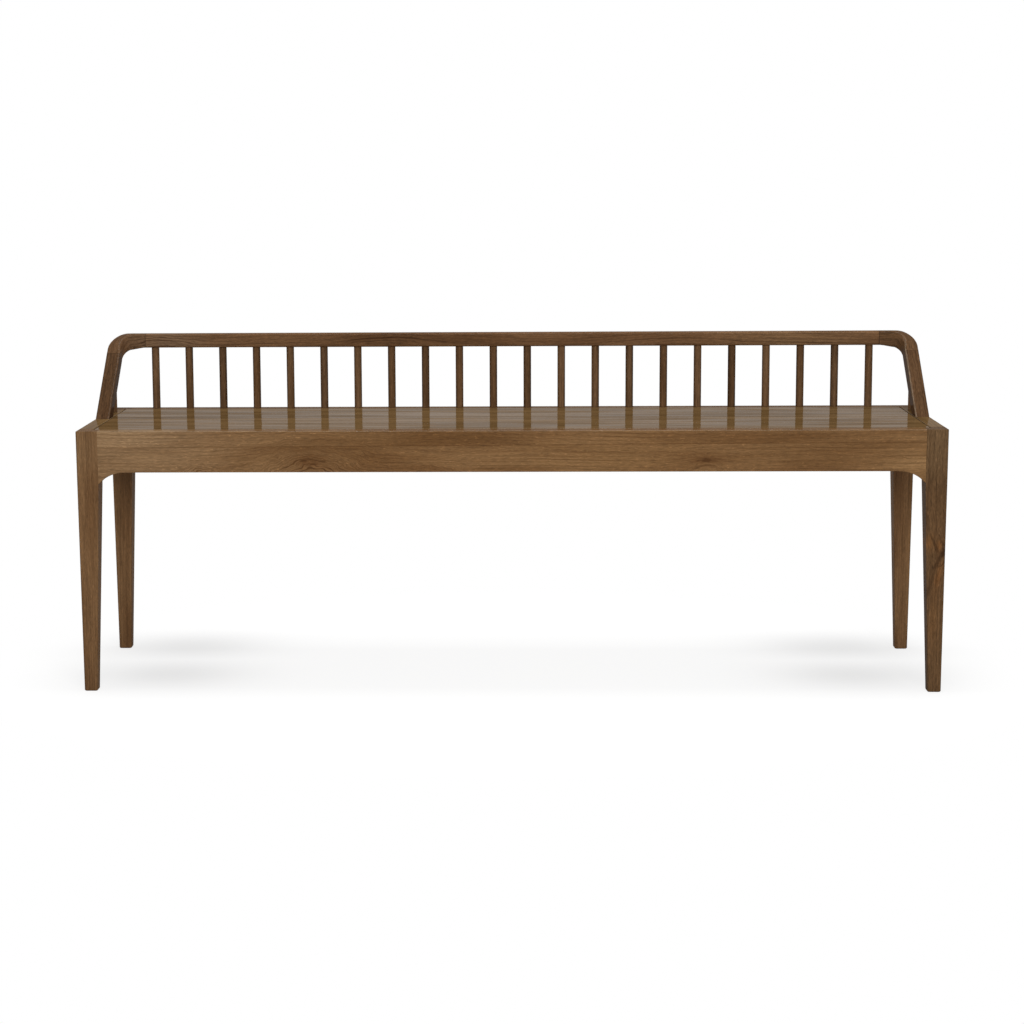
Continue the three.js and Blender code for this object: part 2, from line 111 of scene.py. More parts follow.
def noise(tree, place, stretch, detail=2.0):
    inputs = {"Vector": vectorMaths(tree, "MULTIPLY", place, stretch), "Scale": 1, "Detail": detail}
    return addNode(tree, "TexNoise", inputs, noise_dimensions="3D").outputs


# A noise that shows softly between the two ends of a range
def patchy(tree, place, stretch, span, detail=2.0):
    return ramp(tree, noise(tree, place, stretch, detail)["Fac"], *span)


# Adds parts to a total, each by its own weight
def weigh(tree, total, *parts):
    for value, weight in parts:
        total = maths(tree, "MULTIPLY_ADD", value, weight, total)
    return total


# 1 in the middle of a place, and softly down to 0 round it
def softSpot(tree, away):
    distance = vectorMaths(tree, "LENGTH", away)
    square = maths(tree, "MULTIPLY", distance, distance)
    return maths(tree, "POWER", math.e, maths(tree, "MULTIPLY", square, -1.0))


# A soft push this way and that, up to the reach
def swayOf(tree, place, stretch, reach):
    colour = noise(tree, place, stretch)["Color"]
    return scaled(tree, vectorMaths(tree, "SUBTRACT", colour, (0.5, 0.5, 0.5)), 2 * reach)


# The sockets of a Mix node share their names, so the two colours go in by number
def mixColours(tree, share, first, second):
    first, second = ((*c, 1) if isinstance(c, tuple) else c for c in (first, second))
    inputs = {"Factor": share, 6: first, 7: second}
    return addNode(tree, "Mix", inputs, data_type="RGBA").outputs[2]


def attribute(tree, name, output="Fac"):
    return addNode(tree, "Attribute", attribute_name=name).outputs[output]


def newMaterial(name):
    material = bpy.data.materials.new(name)
    material.use_nodes = True
    return material, material.node_tree, material.node_tree.nodes["Principled BSDF"]


# A shader group with its inputs' first values, and masks or values as its outputs
def newGroup(name, inputs, outputs):
    group = bpy.data.node_groups.new(name, "ShaderNodeTree")
    for socketName, value in inputs.items():
        kind = "NodeSocketVector" if isinstance(value, tuple) else "NodeSocketFloat"
        socket = group.interface.new_socket(socketName, in_out="INPUT", socket_type=kind)
        socket.default_value = value
    for socketName in outputs:
        group.interface.new_socket(socketName, in_out="OUTPUT", socket_type="NodeSocketFloat")
    return group, group.nodes.new("NodeGroupInput").outputs, group.nodes.new("NodeGroupOutput")


def useGroup(tree, group, **values):
    return addNode(tree, "Group", values, node_tree=group).outputs


# How the wood looks inside the log. A stretch is per metre, along the grain and twice across it.
figure = {
    # stretch, where the noise starts to show and where it shows in full, and its detail
    "band": ((3.2, 32.0, 32.0), (0.35, 0.65)),
    "streak": ((8.0, 190.0, 190.0), (0.42, 0.72)),
    "clear": ((4.0, 24.0, 24.0), (0.35, 0.65, 0.2)),   # the rings never fade quite away
    "fibre": ((14.0, 520.0, 520.0), (0.25, 0.75)), "fine": ((100.0, 900.0, 900.0), (0.25, 0.75)),
    "pore": ((150.0, 1500.0, 1500.0), (0.6, 0.7), 1.0),
    "fleck": ((110.0, 560.0, 560.0), (0.66, 0.74), 1.0),
    # stretch and reach of the rings' sway
    "bend": ((1.5, 5.0, 5.0), 1.0), "wave": ((8.0, 26.0, 26.0), 0.22),
    # shares of a ring, or of a whole
    "late": (0.5, 0.85), "ringEnd": 0.95, "poreFade": 0.6, "latePores": 0.25,
    "faintRing": 0.25, "fineShare": 0.62, "unevenRings": 2.4, "unevenScale": 0.3,
}
acrossGrain = (0, 1, 1)


# Rings round the heart of the log: how dark each place is, and how far through its ring it lies
def growthRings(group, given, swayed, lifted):
    reach = vectorMaths(group, "LENGTH", vectorMaths(group, "MULTIPLY", lifted, acrossGrain))
    count = maths(group, "DIVIDE", reach, given["Ring"])
    inputs = {"W": count, "Scale": figure["unevenScale"], "Detail": 1}
    uneven = addNode(group, "TexNoise", inputs, noise_dimensions="1D").outputs["Fac"]
    count = weigh(group, count, (uneven, figure["unevenRings"]))
    through = maths(group, "FRACT", count)
    inputs = {"W": maths(group, "FLOOR", count)}
    chance = addNode(group, "TexWhiteNoise", inputs, noise_dimensions="1D").outputs["Value"]
    strength = weigh(group, figure["faintRing"], (chance, 1 - figure["faintRing"]))
    clear = maths(group, "MAXIMUM", patchy(group, swayed, *figure["clear"]), given["Show"])
    rise = ramp(group, through, *figure["late"])
    close = ramp(group, through, figure["ringEnd"], 1.0, 1.0, 0.0)
    dark = maths(group, "MULTIPLY", rise, close)
    return maths(group, "MULTIPLY", dark, maths(group, "MULTIPLY", strength, clear)), through


def makeLogGroup():
    group, given, result = newGroup(
        "solidWood",
        {"Place": (0, 0, 0), "Ring": 0.004, "Wander": 0.01, "Push": 0.0, "Show": 0.0},
        ["Rings", "Bands", "Streaks", "Fibre", "Pores", "Flecks"],
    )
    place = given["Place"]
    sways = (swayOf(group, place, *figure[name]) for name in ("bend", "wave"))
    sway = vectorMaths(group, "ADD", *sways)
    swayed = vectorMaths(group, "ADD", place, scaled(group, sway, given["Wander"]))
    outward = vectorMaths(group, "NORMALIZE", vectorMaths(group, "MULTIPLY", swayed, acrossGrain))
    lifted = vectorMaths(group, "ADD", swayed, scaled(group, outward, given["Push"]))
    rings, through = growthRings(group, given, swayed, lifted)
    coarse, fine = (patchy(group, lifted, *figure[name]) for name in ("fibre", "fine"))
    share = figure["fineShare"]
    early = ramp(group, through, 0.0, figure["poreFade"], 1.0, figure["latePores"])
    feed(group, result, {
        "Rings": rings,
        "Bands": patchy(group, lifted, *figure["band"]),
        "Streaks": patchy(group, lifted, *figure["streak"]),
        "Fibre": weigh(group, 0.0, (coarse, 1 - share), (fine, share)),
        "Pores": maths(group, "MULTIPLY", patchy(group, place, *figure["pore"]), early),
        "Flecks": patchy(group, place, *figure["fleck"]),
    })
    return group


markShape = {"uneven": ((1.4, 1.4, 1.4), 0.55), "core": 0.3}


# A place in the plank: a soft swell, which lifts the rings of a knot or shows a patch of
# another colour, and a core with a clearer edge. Slant leans it sideways as it rises.
def makeMarkGroup():
    group, given, result = newGroup(
        "plankMark", {"Place": (0, 0, 0), "Centre": (0, 0, 0), "Spread": (1, 1, 1), "Slant": 0.0},
        ["Swell", "Core"],
    )
    away = vectorMaths(group, "SUBTRACT", given["Place"], given["Centre"])
    rise = addNode(group, "SeparateXYZ", {0: away}).outputs["Z"]
    lean = addNode(group, "CombineXYZ", {"X": maths(group, "MULTIPLY", rise, given["Slant"])})
    away = vectorMaths(group, "ADD", away, lean.outputs[0])
    away = vectorMaths(group, "DIVIDE", away, given["Spread"])
    away = vectorMaths(group, "ADD", away, swayOf(group, away, *markShape["uneven"]))
    distance = vectorMaths(group, "LENGTH", away)
    feed(group, result, {
        "Swell": softSpot(group, away),
        "Core": ramp(group, distance, markShape["core"], 1.0, 1.0, 0.0),
    })
    return group


logGroup = makeLogGroup()
markGroup = makeMarkGroup()


def markAt(tree, place, mark):
    return useGroup(tree, markGroup, Place=place, Centre=mark["centre"], Spread=mark["spread"],
                    Slant=mark["slant"])


# A marked place, in the bench's metres. A knot's amount is how far it pushes the rings, and a
# patch's or a core's is how strongly it shows.
def spot(centre, spread, amount, colour=None, slant=0.0):
    return {"centre": centre, "spread": spread, "amount": amount, "colour": colour, "slant": slant}


# Each finish's colours are linear. Ring is the width of a growth ring in metres, the depths say
# how strongly a part of the figure shows, and film is how the oil's gloss streaks along the grain.
sharedLook = {   # what a finish has unless it says otherwise
    "poreDepth": 0.3, "roughness": 0.5, "specular": 0.0, "coat": 0.0, "film": None,
    "knots": [], "patches": [], "cores": [], "stave": None, "objectPlace": None,
}
finishes = {
    "apron": {
        "light": (0.222, 0.12, 0.05), "mid": (0.165, 0.082, 0.031), "dark": (0.08, 0.034, 0.011),
        "ring": 0.0052, "wander": 0.016, "ringDepth": 0.5, "streakDepth": 0.2, "fibreDepth": 0.6,
        "fleckDepth": 0.5, "coat": 0.09, "coatRoughness": 0.12, "bump": 0.2,
        "stave": {"height": 0.4306, "tilt": 0.005, "shift": (0.9, -0.02, 0.04),
                  "line": 0.0013, "depth": 0.6},
        "knots": [
            spot((-0.335, -0.175, 0.386), (0.075, 0.05, 0.042), -0.055),
            spot((-0.528, -0.175, 0.384), (0.026, 0.05, 0.016), -0.018),
            spot((-0.14, -0.175, 0.38), (0.04, 0.05, 0.018), -0.014),
            spot((0.334, -0.175, 0.396), (0.03, 0.05, 0.016), -0.01),
        ],
        "patches": [
            spot((-0.66, -0.175, 0.45), (0.17, 0.2, 0.03), 0.75, (0.315, 0.2, 0.105)),
            spot((-0.66, -0.175, 0.4), (0.2, 0.2, 0.04), 0.52, (0.315, 0.2, 0.105)),
            spot((-0.12, -0.175, 0.445), (0.22, 0.2, 0.022), 0.45, (0.105, 0.048, 0.015)),
            spot((-0.33, -0.175, 0.41), (0.09, 0.2, 0.025), 0.3, (0.105, 0.048, 0.015)),
            spot((0.17, -0.175, 0.41), (0.13, 0.2, 0.03), 0.6, (0.26, 0.145, 0.06)),
            spot((0.52, -0.175, 0.43), (0.14, 0.2, 0.04), 0.32, (0.105, 0.048, 0.015)),
            spot((0.69, -0.175, 0.4), (0.06, 0.2, 0.03), 0.5, (0.32, 0.185, 0.08)),
            spot((-0.3415, -0.175, 0.4045), (0.03, 0.2, 0.011), 0.6, (0.105, 0.042, 0.013)),
            spot((0.334, -0.175, 0.405), (0.03, 0.2, 0.008), 0.5, (0.1, 0.04, 0.013)),
        ],
        "cores": [
            spot((-0.35, -0.175, 0.4045), (0.009, 0.02, 0.0038), 0.85),
            spot((-0.334, -0.175, 0.3985), (0.015, 0.02, 0.0028), 0.7),
            spot((-0.317, -0.175, 0.4035), (0.008, 0.02, 0.0025), 0.65),
            spot((0.334, -0.175, 0.4045), (0.012, 0.02, 0.0045), 0.9),
        ],
    },
    "leg": {
        "light": (0.17, 0.092, 0.041), "mid": (0.123, 0.062, 0.026),
        "dark": (0.046, 0.02, 0.0075),
        "ring": 0.0045, "wander": 0.01, "ringDepth": 0.45, "streakDepth": 0.3, "fibreDepth": 0.65,
        "fleckDepth": 0.3, "coat": 0.07, "coatRoughness": 0.14, "bump": 0.2,
        "knots": [
            spot((0.745, -0.172, 0.245), (0.02, 0.03, 0.035), -0.014),
            spot((-0.7, 0.16, 0.3), (0.02, 0.05, 0.12), -0.01),
        ],
        "patches": [
            spot((-0.725, -0.172, 0.43), (0.05, 0.05, 0.05), 0.6, (0.2, 0.115, 0.054)),
            spot((0.725, -0.172, 0.44), (0.05, 0.05, 0.08), 0.75, (0.21, 0.125, 0.06)),
            spot((0.711, -0.172, 0.262), (0.007, 0.05, 0.014), 0.7, (0.27, 0.118, 0.038)),
            spot((0.73, -0.172, 0.257), (0.006, 0.05, 0.01), 0.65, (0.26, 0.11, 0.035)),
            spot((0.73, -0.172, 0.205), (0.006, 0.05, 0.022), 0.65, (0.26, 0.108, 0.034),
                 slant=-0.2),
            spot((0.722, -0.172, 0.13), (0.01, 0.05, 0.05), 0.4, (0.22, 0.105, 0.038)),
        ],
        "cores": [
            spot((0.737, -0.172, 0.2455), (0.007, 0.03, 0.014), 0.85, slant=-0.2),
            spot((0.721, -0.172, 0.26), (0.0045, 0.03, 0.024), 0.6, slant=0.4),
            spot((0.727, -0.172, 0.228), (0.006, 0.03, 0.02), 0.6, slant=-0.4),
            spot((0.715, -0.172, 0.185), (0.005, 0.03, 0.038), 0.6, slant=-0.25),
            spot((0.709, -0.172, 0.14), (0.0035, 0.03, 0.045), 0.5),
        ],
    },
    "seat": {
        "light": (0.188, 0.11, 0.044), "mid": (0.137, 0.078, 0.029), "dark": (0.062, 0.03, 0.009),
        "ring": 0.006, "wander": 0.014, "ringDepth": 0.3, "streakDepth": 0.25, "fibreDepth": 0.5,
        "poreDepth": 0.2, "fleckDepth": 0.15, "roughness": 0.55, "coat": 0.19,
        "coatRoughness": 0.07, "bump": 0.04,
        "film": ((4.0, 70.0, 70.0), (0.3, 0.7, 0.1045, 0.2755), 3.0),
    },
    "hoop": {
        "light": (0.177, 0.093, 0.0435), "mid": (0.13, 0.065, 0.029),
        "dark": (0.05, 0.021, 0.008),
        "ring": 0.0048, "wander": 0.014, "ringDepth": 0.5, "streakDepth": 0.3, "fibreDepth": 0.75,
        "fleckDepth": 0.25, "roughness": 0.45, "coat": 0.07, "coatRoughness": 0.12, "bump": 0.15,
        "knots": [
            spot((-0.645, 0.153, 0.572), (0.06, 0.05, 0.02), -0.016),
            spot((-0.22, 0.153, 0.588), (0.1, 0.05, 0.02), -0.01),
            spot((0.3, 0.153, 0.572), (0.12, 0.05, 0.02), -0.012),
        ],
        "patches": [
            spot((-0.63, 0.164, 0.585), (0.08, 0.1, 0.05), 0.6, (0.22, 0.142, 0.085)),
            spot((-0.2, 0.164, 0.585), (0.22, 0.1, 0.05), 0.55, (0.075, 0.034, 0.012)),
            spot((0.53, 0.164, 0.585), (0.13, 0.1, 0.05), 0.6, (0.21, 0.125, 0.06)),
            spot((0.706, 0.15, 0.588), (0.02, 0.03, 0.006), 0.5, (0.22, 0.115, 0.05)),
        ],
    },
    "spindle": {
        "light": (0.178, 0.1, 0.05), "mid": (0.131, 0.069, 0.0315), "dark": (0.06, 0.029, 0.012),
        "ring": 0.0035, "wander": 0.005, "ringDepth": 0.4, "streakDepth": 0.35, "fibreDepth": 0.7,
        "fleckDepth": 0.25, "coat": 0.03, "coatRoughness": 0.15, "bump": 0.15,
    },
    "underframe": {
        "light": (0.21, 0.13, 0.07), "mid": (0.16, 0.095, 0.05), "dark": (0.085, 0.045, 0.022),
        "ring": 0.004, "wander": 0.01, "ringDepth": 0.4, "streakDepth": 0.25, "fibreDepth": 0.5,
        "fleckDepth": 0.1, "roughness": 0.65, "specular": 0.15, "coatRoughness": 0.3, "bump": 0.3,
        "objectPlace": (0.02, 0.06, -0.36),
    },
    "slipTenon": {
        "light": (0.52, 0.37, 0.22), "mid": (0.45, 0.31, 0.18), "dark": (0.3, 0.19, 0.1),
        "ring": 0.002, "wander": 0.004, "ringDepth": 0.25, "streakDepth": 0.1, "fibreDepth": 0.3,
        "poreDepth": 0.1, "fleckDepth": 0.0, "roughness": 0.6, "specular": 0.2,
        "coatRoughness": 0.3, "bump": 0.2, "objectPlace": (0.0, 0.04, -0.5),
    },
}
finishes["sideRail"] = {**finishes["seat"], "coat": 0.11, "film": None}


# Above its joint line the apron is a second stave, cut from another place in the log
def staveOf(tree, stave, objectPlace, place):
    axes = addNode(tree, "SeparateXYZ", {0: objectPlace}).outputs
    level = weigh(tree, stave["height"], (axes["X"], stave["tilt"]))
    above = maths(tree, "SUBTRACT", axes["Z"], level)
    shift = scaled(tree, stave["shift"], maths(tree, "GREATER_THAN", above, 0.0))
    line = ramp(tree, maths(tree, "ABSOLUTE", above), 0.0, stave["line"], stave["depth"], 0.0)
    return vectorMaths(tree, "ADD", place, shift), line


# What every wooden surface shares
surface = {
    # a worn arris is paler, and this pale colour also stands in as a painted highlight along the
    # rounding
    "wornAndHighlitArris": (0.34, 0.25, 0.165), "knotShow": 2.0,
    "ringRoughness": -0.08, "fibreRoughness": 0.25,
    "poreHeight": -0.6, "ringHeight": 0.3, "reliefDepth": 0.0004,
}


# Where a point lies in its log: dressed pieces carry it, and plain solids take their own place
def logPlace(tree, look, objectPlace):
    if not look["objectPlace"]:
        return attribute(tree, "grainPlace", "Vector")
    inputs = {"Vector": objectPlace, "Location": look["objectPlace"]}
    return addNode(tree, "Mapping", inputs).outputs["Vector"]


def woodColour(tree, look, wood, fibre, objectPlace, darkMarks):
    colour = mixColours(tree, wood["Bands"], look["light"], look["mid"])
    for patch in look["patches"]:
        swell = markAt(tree, objectPlace, patch)["Swell"]
        share = maths(tree, "MULTIPLY", swell, patch["amount"])
        colour = mixColours(tree, share, colour, patch["colour"])
    shade = weigh(tree, 0.0, (wood["Rings"], look["ringDepth"]),
                  (wood["Streaks"], look["streakDepth"]))
    for mark in darkMarks:
        shade = maths(tree, "MAXIMUM", shade, mark)
    colour = mixColours(tree, shade, colour, look["dark"])
    # arrises are mixed towards the pale colour: partly wear, partly a painted highlight
    colour = mixColours(tree, attribute(tree, "edgeWearAndHighlight"), colour, surface["wornAndHighlitArris"])
    tone = maths(tree, "ADD", attribute(tree, "toneAndPaintedLight"), 1.0)
    bright = weigh(tree, tone, (fibre, look["fibreDepth"]), (wood["Pores"], -look["poreDepth"]),
                   (wood["Flecks"], look["fleckDepth"]))
    return scaled(tree, colour, bright)


def makeWood(name):
    look = {**sharedLook, **finishes[name]}
    material, tree, shader = newMaterial(name + "Wood")
    objectPlace = addNode(tree, "TexCoord").outputs["Object"]
    place = logPlace(tree, look, objectPlace)
    darkMarks = []
    if look["stave"]:
        place, line = staveOf(tree, look["stave"], objectPlace, place)
        darkMarks.append(line)
    for core in look["cores"]:
        mark = markAt(tree, objectPlace, core)
        darkMarks.append(maths(tree, "MULTIPLY", mark["Core"], core["amount"]))
    push = show = 0.0
    for knot in look["knots"]:
        swell = markAt(tree, objectPlace, knot)["Swell"]
        push = weigh(tree, push, (swell, knot["amount"]))
        show = weigh(tree, show, (swell, surface["knotShow"]))
    wood = useGroup(tree, logGroup, Place=place, Ring=look["ring"], Wander=look["wander"],
                    Push=push, Show=show)
    fibre = maths(tree, "SUBTRACT", wood["Fibre"], 0.5)
    rough = weigh(tree, look["roughness"], (wood["Rings"], surface["ringRoughness"]),
                  (fibre, surface["fibreRoughness"]))
    height = weigh(tree, wood["Fibre"], (wood["Pores"], surface["poreHeight"]),
                   (wood["Rings"], surface["ringHeight"]))
    relief = {"Strength": look["bump"], "Distance": surface["reliefDepth"], "Height": height}
    coat = look["coat"]
    if look["film"]:
        coat = patchy(tree, place, *look["film"])
    feed(tree, shader, {
        "Base Color": woodColour(tree, look, wood, fibre, objectPlace, darkMarks),
        "Roughness": rough,
        "Normal": addNode(tree, "Bump", relief).outputs["Normal"],
        "Specular IOR Level": look["specular"],
        "Coat Weight": coat,
        "Coat Roughness": look["coatRoughness"],
    })
    return material


screwLook = {
    "colour": (0.52, 0.51, 0.48, 1),
    "scratches": ((400.0, 400.0, 60.0), (0.3, 0.7, 0.36, 0.5), 3.0),   # from smooth to rough
}


def makeSteel():
    material, tree, shader = newMaterial("screwSteel")
    place = addNode(tree, "TexCoord").outputs["Object"]
    rough = patchy(tree, place, *screwLook["scratches"])
    feed(tree, shader, {"Base Color": screwLook["colour"], "Metallic": 1, "Roughness": rough})
    return material


woods = {name: makeWood(name) for name in finishes}
steel = makeSteel()
print("finishes ready:", len(woods) + 1)

grainAlong = {   # turns the bench's axes so that x runs along the grain
    "X": Matrix.Identity(4),
    "Y": Matrix(((0, 1, 0, 0), (1, 0, 0, 0), (0, 0, 1, 0), (0, 0, 0, 1))),
    "Z": Matrix(((0, 0, 1, 0), (1, 0, 0, 0), (0, 1, 0, 0), (0, 0, 0, 1))),
}


def vertexLayer(layers, name):
    return layers.get(name) or layers.new(name)


# Each vertex keeps its place in the log, in metres
def markGrain(bm, turn, log):
    layer = vertexLayer(bm.verts.layers.float_vector, "grainPlace")
    offset = Vector(log)
    for vertex in bm.verts:
        vertex[layer] = (turn @ vertex.co + offset) * millimetre


# An arris painted pale: partly worn by hands and cloths, partly a painted highlight along its
# rounding
def markWearAndHighlight(bm, wearAndHighlightAt):
    layer = vertexLayer(bm.verts.layers.float, "edgeWearAndHighlight")
    for vertex in bm.verts:
        vertex[layer] = wearAndHighlightAt(vertex.co)


# Makes a piece lighter or darker by an amount that may change over it: its own tone, and where it
# is marked so, painted light and shade
def markTone(bm, toneAt):
    layer = vertexLayer(bm.verts.layers.float, "toneAndPaintedLight")
    for vertex in bm.verts:
        vertex[layer] += toneAt(vertex.co)


def looseObject(name, bm):
    mesh = bpy.data.meshes.new(name)
    bm.to_mesh(mesh)
    bm.free()
    return addObject(name, mesh)


def moveBy(bm, x, y, z):
    bmesh.ops.translate(bm, vec=(x, y, z), verts=bm.verts)


def resize(bm, x, y, z):
    bmesh.ops.scale(bm, vec=(x, y, z), verts=bm.verts)


sharpAngle = math.radians(40)


# Brings a piece to metres, dresses it, and puts it in the place of its solid
def finishPiece(solid, bm, finish, tone):
    bmesh.ops.recalc_face_normals(bm, faces=bm.faces)
    resize(bm, millimetre, millimetre, millimetre)
    markTone(bm, lambda co: tone)
    piece = looseObject(f"oiled_{solid}", bm)
    piece.data.polygons.foreach_set("use_smooth", [True] * len(piece.data.polygons))
    piece.data.set_sharp_from_angle(angle=sharpAngle)
    piece.data.materials.append(woods[finish])
    even = piece.modifiers.new("evenShading", "WEIGHTED_NORMAL")
    even.keep_sharp = True
    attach(piece, "root")
    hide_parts(solid)


def block(x0, x1, y0, y1, z0, z1):
    bm = bmesh.new()
    bmesh.ops.create_cube(bm, size=1)
    resize(bm, x1 - x0, y1 - y0, z1 - z0)
    moveBy(bm, (x0 + x1) / 2, (y0 + y1) / 2, (z0 + z1) / 2)
    return bm


def rod(radius, z0, z1, x=0, y=0):
    bm = bmesh.new()
    bmesh.ops.create_cone(bm, cap_ends=True, segments=bench["holeSides"], radius1=radius,
                          radius2=radius, depth=z1 - z0)
    moveBy(bm, x, y, (z0 + z1) / 2)
    return bm


# Joins the tools to a blank, or cuts them out of it
def worked(bm, operation, tools):
    bmesh.ops.recalc_face_normals(bm, faces=bm.faces)
    blank = looseObject("blank", bm)
    bodies = [looseObject("tool", tool) for tool in tools]
    for body in bodies:
        cut = blank.modifiers.new("cut", "BOOLEAN")
        cut.operation = operation
        cut.solver = "EXACT"
        cut.object = body
    result = bmesh.new()
    result.from_object(blank, bpy.context.evaluated_depsgraph_get())
    for body in (blank, *bodies):
        mesh = body.data
        bpy.data.objects.remove(body)
        bpy.data.meshes.remove(mesh)
    return result


def roundOff(bm, parts, radius, segments=3, affect="EDGES"):
    bmesh.ops.bevel(
        bm, geom=parts, offset=radius, offset_type="OFFSET", segments=segments, profile=0.5,
        affect=affect, material=-1,
    )


def vertsOf(parts):
    return [part for part in parts if isinstance(part, bmesh.types.BMVert)]


def edgesOf(parts):
    return [part for part in parts if isinstance(part, bmesh.types.BMEdge)]


# Draws a loop of edges out into a new one, and gives the new one's vertices and edges
def drawOut(bm, edges):
    grown = bmesh.ops.extrude_edge_only(bm, edges=edges)["geom"]
    verts = vertsOf(grown)
    return verts, [edge for edge in edgesOf(grown) if all(end in verts for end in edge.verts)]


def ringMiddle(ring):
    return Vector(((ring["x0"] + ring["x1"]) / 2, (ring["y0"] + ring["y1"]) / 2, ring["z"]))


# A ring's corner: its radius, which may be softer on the upper inner crest, and its centre
def cornerOf(ring, right, rear):
    radius = ring["inner"]
    if rear:
        radius = ring["outer"] if right else ring.get("crest", radius)
    x = ring["x1"] - radius if right else ring["x0"] + radius
    y = ring["y1"] - radius if rear else ring["y0"] + radius
    return radius, Vector((x, y, ring["z"]))


# Moves a ring of a rounded rectangle, corner by corner, to its next size and height
def reshapeRing(bm, verts, was, now):
    middle = ringMiddle(was)
    quarters = {}
    for vertex in verts:
        quarters.setdefault((vertex.co.x > middle.x, vertex.co.y > middle.y), []).append(vertex)
    for quarter, corner in quarters.items():
        oldRadius, oldCentre = cornerOf(was, *quarter)
        newRadius, newCentre = cornerOf(now, *quarter)
        grow = Matrix.Scale(newRadius / oldRadius, 4)
        move = Matrix.Translation(newCentre) @ grow @ Matrix.Translation(-oldCentre)
        bmesh.ops.transform(bm, matrix=move, verts=corner)


# A closed skin over rounded rectangles, one above the other
def stackRings(rings, segments):
    bm = bmesh.new()
    first = rings[0]
    middle = ringMiddle(first)
    bmesh.ops.create_grid(bm, x_segments=1, y_segments=1, size=0.5)
    resize(bm, first["x1"] - first["x0"], first["y1"] - first["y0"], 1)
    moveBy(bm, *middle)
    outer = [v for v in bm.verts if v.co.x > middle.x and v.co.y > middle.y]
    inner = [v for v in bm.verts if v not in outer]
    for corners, radius in ((outer, first["outer"]), (inner, first["inner"])):
        roundOff(bm, corners, radius, segments, "VERTICES")
    edges = bm.edges[:]
    for was, now in zip(rings, rings[1:]):
        verts, edges = drawOut(bm, edges)
        reshapeRing(bm, verts, was, now)
    bmesh.ops.edgeloop_fill(bm, edges=edges)
    return bm


# The steps of a quarter round: how far each lies in from the side and down from the end
def quarterRound(radius, steps):
    angles = [step / steps * math.pi / 2 for step in range(steps + 1)]
    return [(radius * (1 - math.cos(a)), radius * (1 - math.sin(a))) for a in angles]


def mirrorPiece(bm, signX, signY):
    resize(bm, signX, signY, 1)
    if signX * signY < 0:
        bmesh.ops.reverse_faces(bm, faces=bm.faces)


bench = {
    "halfLength": 740, "halfDepth": 175, "seat": 455.5, "railTop": 594.0,
    "fitGap": 0.3, "overrun": 5,   # room round a tenon, and how far a cutter passes a surface
    "tolerance": 0.01,             # places this close count as one
    "holeSides": 32,
}

legs = {
    "size": 37, "foot": 23, "faceInset": 3, "edge": 3, "jointEdge": 0.6,
    "footEase": 2.5, "topEase": 1.2, "taperTop": 362.2, "easeSteps": 3, "edgeSteps": 4,
    "tones": {"front_left": 0.14, "front_right": -0.23, "rear_left": 0.26, "rear_right": 0.28},
    "logs": {
        "front_left": (0, 58, 14), "front_right": (1900, 47, -22),
        "rear_left": (3700, 34, 41), "rear_right": (5400, 62, -5),
    },
    "logFrom": (728, 160),   # the logs' places are given from here, in the leg's middle
}


def legBlank():
    outX, outY = bench["halfLength"], bench["halfDepth"]
    top = {"x0": outX - legs["size"], "x1": outX, "y0": outY - legs["size"], "y1": outY,
           "outer": legs["edge"], "inner": legs["jointEdge"]}
    footY = outY - legs["faceInset"]
    foot = {"x0": outX - legs["foot"], "x1": outX, "y0": footY - legs["foot"], "y1": footY,
            "outer": legs["edge"], "inner": legs["edge"]}
    rings = []
    for rise, inset in quarterRound(legs["footEase"], legs["easeSteps"]):
        rings.append({
            **foot, "z": rise, "x0": foot["x0"] + inset, "x1": foot["x1"] - inset,
            "y0": foot["y0"] + inset, "y1": foot["y1"] - inset,
        })
    rings.append({**top, "z": legs["taperTop"]})
    for inset, drop in quarterRound(legs["topEase"], legs["easeSteps"]):
        rings.append({
            **top, "z": bench["seat"] - drop, "x1": top["x1"] - inset, "y1": top["y1"] - inset,
        })
    return stackRings(rings, legs["edgeSteps"])


rails = {
    "thickness": 25.5, "height": 71, "archRun": 45, "archDrop": 20.3, "archSteps": 14,
    # wear paints the upper front arris pale: partly wear, partly a painted highlight
    "ease": 1.4, "jointEase": 0.5, "wearAndHighlight": 0.35, "wearAndHighlightReach": 0.8, "paintedGrooveShade": -0.7,
    "tenonThickness": 9, "tenonLength": 16, "tenonShoulder": 14, "tenonRoot": 9,
    "logs": {
        "front_rail": (300, 130, -350), "rear_rail": (2600, -130, -350),
        "side_rail_left": (7100, -700, -410), "side_rail_right": (8200, 690, -395),
    },
    "tones": {
        "front_rail": 0.0, "rear_rail": -0.04, "side_rail_left": 0.12, "side_rail_right": 0.06,
    },
}
archToe = bench["seat"] - rails["height"] - rails["archDrop"]

# The inner faces of the legs and of the rails, on the right and at the rear
legInnerX = bench["halfLength"] - legs["size"]
legInnerY = bench["halfDepth"] - legs["size"]
railInnerX = bench["halfLength"] - rails["thickness"]
railInnerY = bench["halfDepth"] - rails["thickness"]


def legTools():
    gap, over = bench["fitGap"], bench["overrun"]
    half = rails["tenonThickness"] / 2 + gap
    reach = rails["tenonLength"] + gap
    centreX = bench["halfLength"] - rails["thickness"] / 2
    centreY = bench["halfDepth"] - rails["thickness"] / 2
    low = archToe + rails["tenonShoulder"] - gap
    high = bench["seat"] - rails["tenonShoulder"] + gap
    return [
        block(legInnerX - over, legInnerX + reach, centreY - half, centreY + half, low, high),
        block(centreX - half, centreX + half, legInnerY - over, legInnerY + reach, low, high),
        block(legInnerX - over, railInnerX, legInnerY - over, railInnerY, seatUnder,
              bench["seat"] + over),
    ]


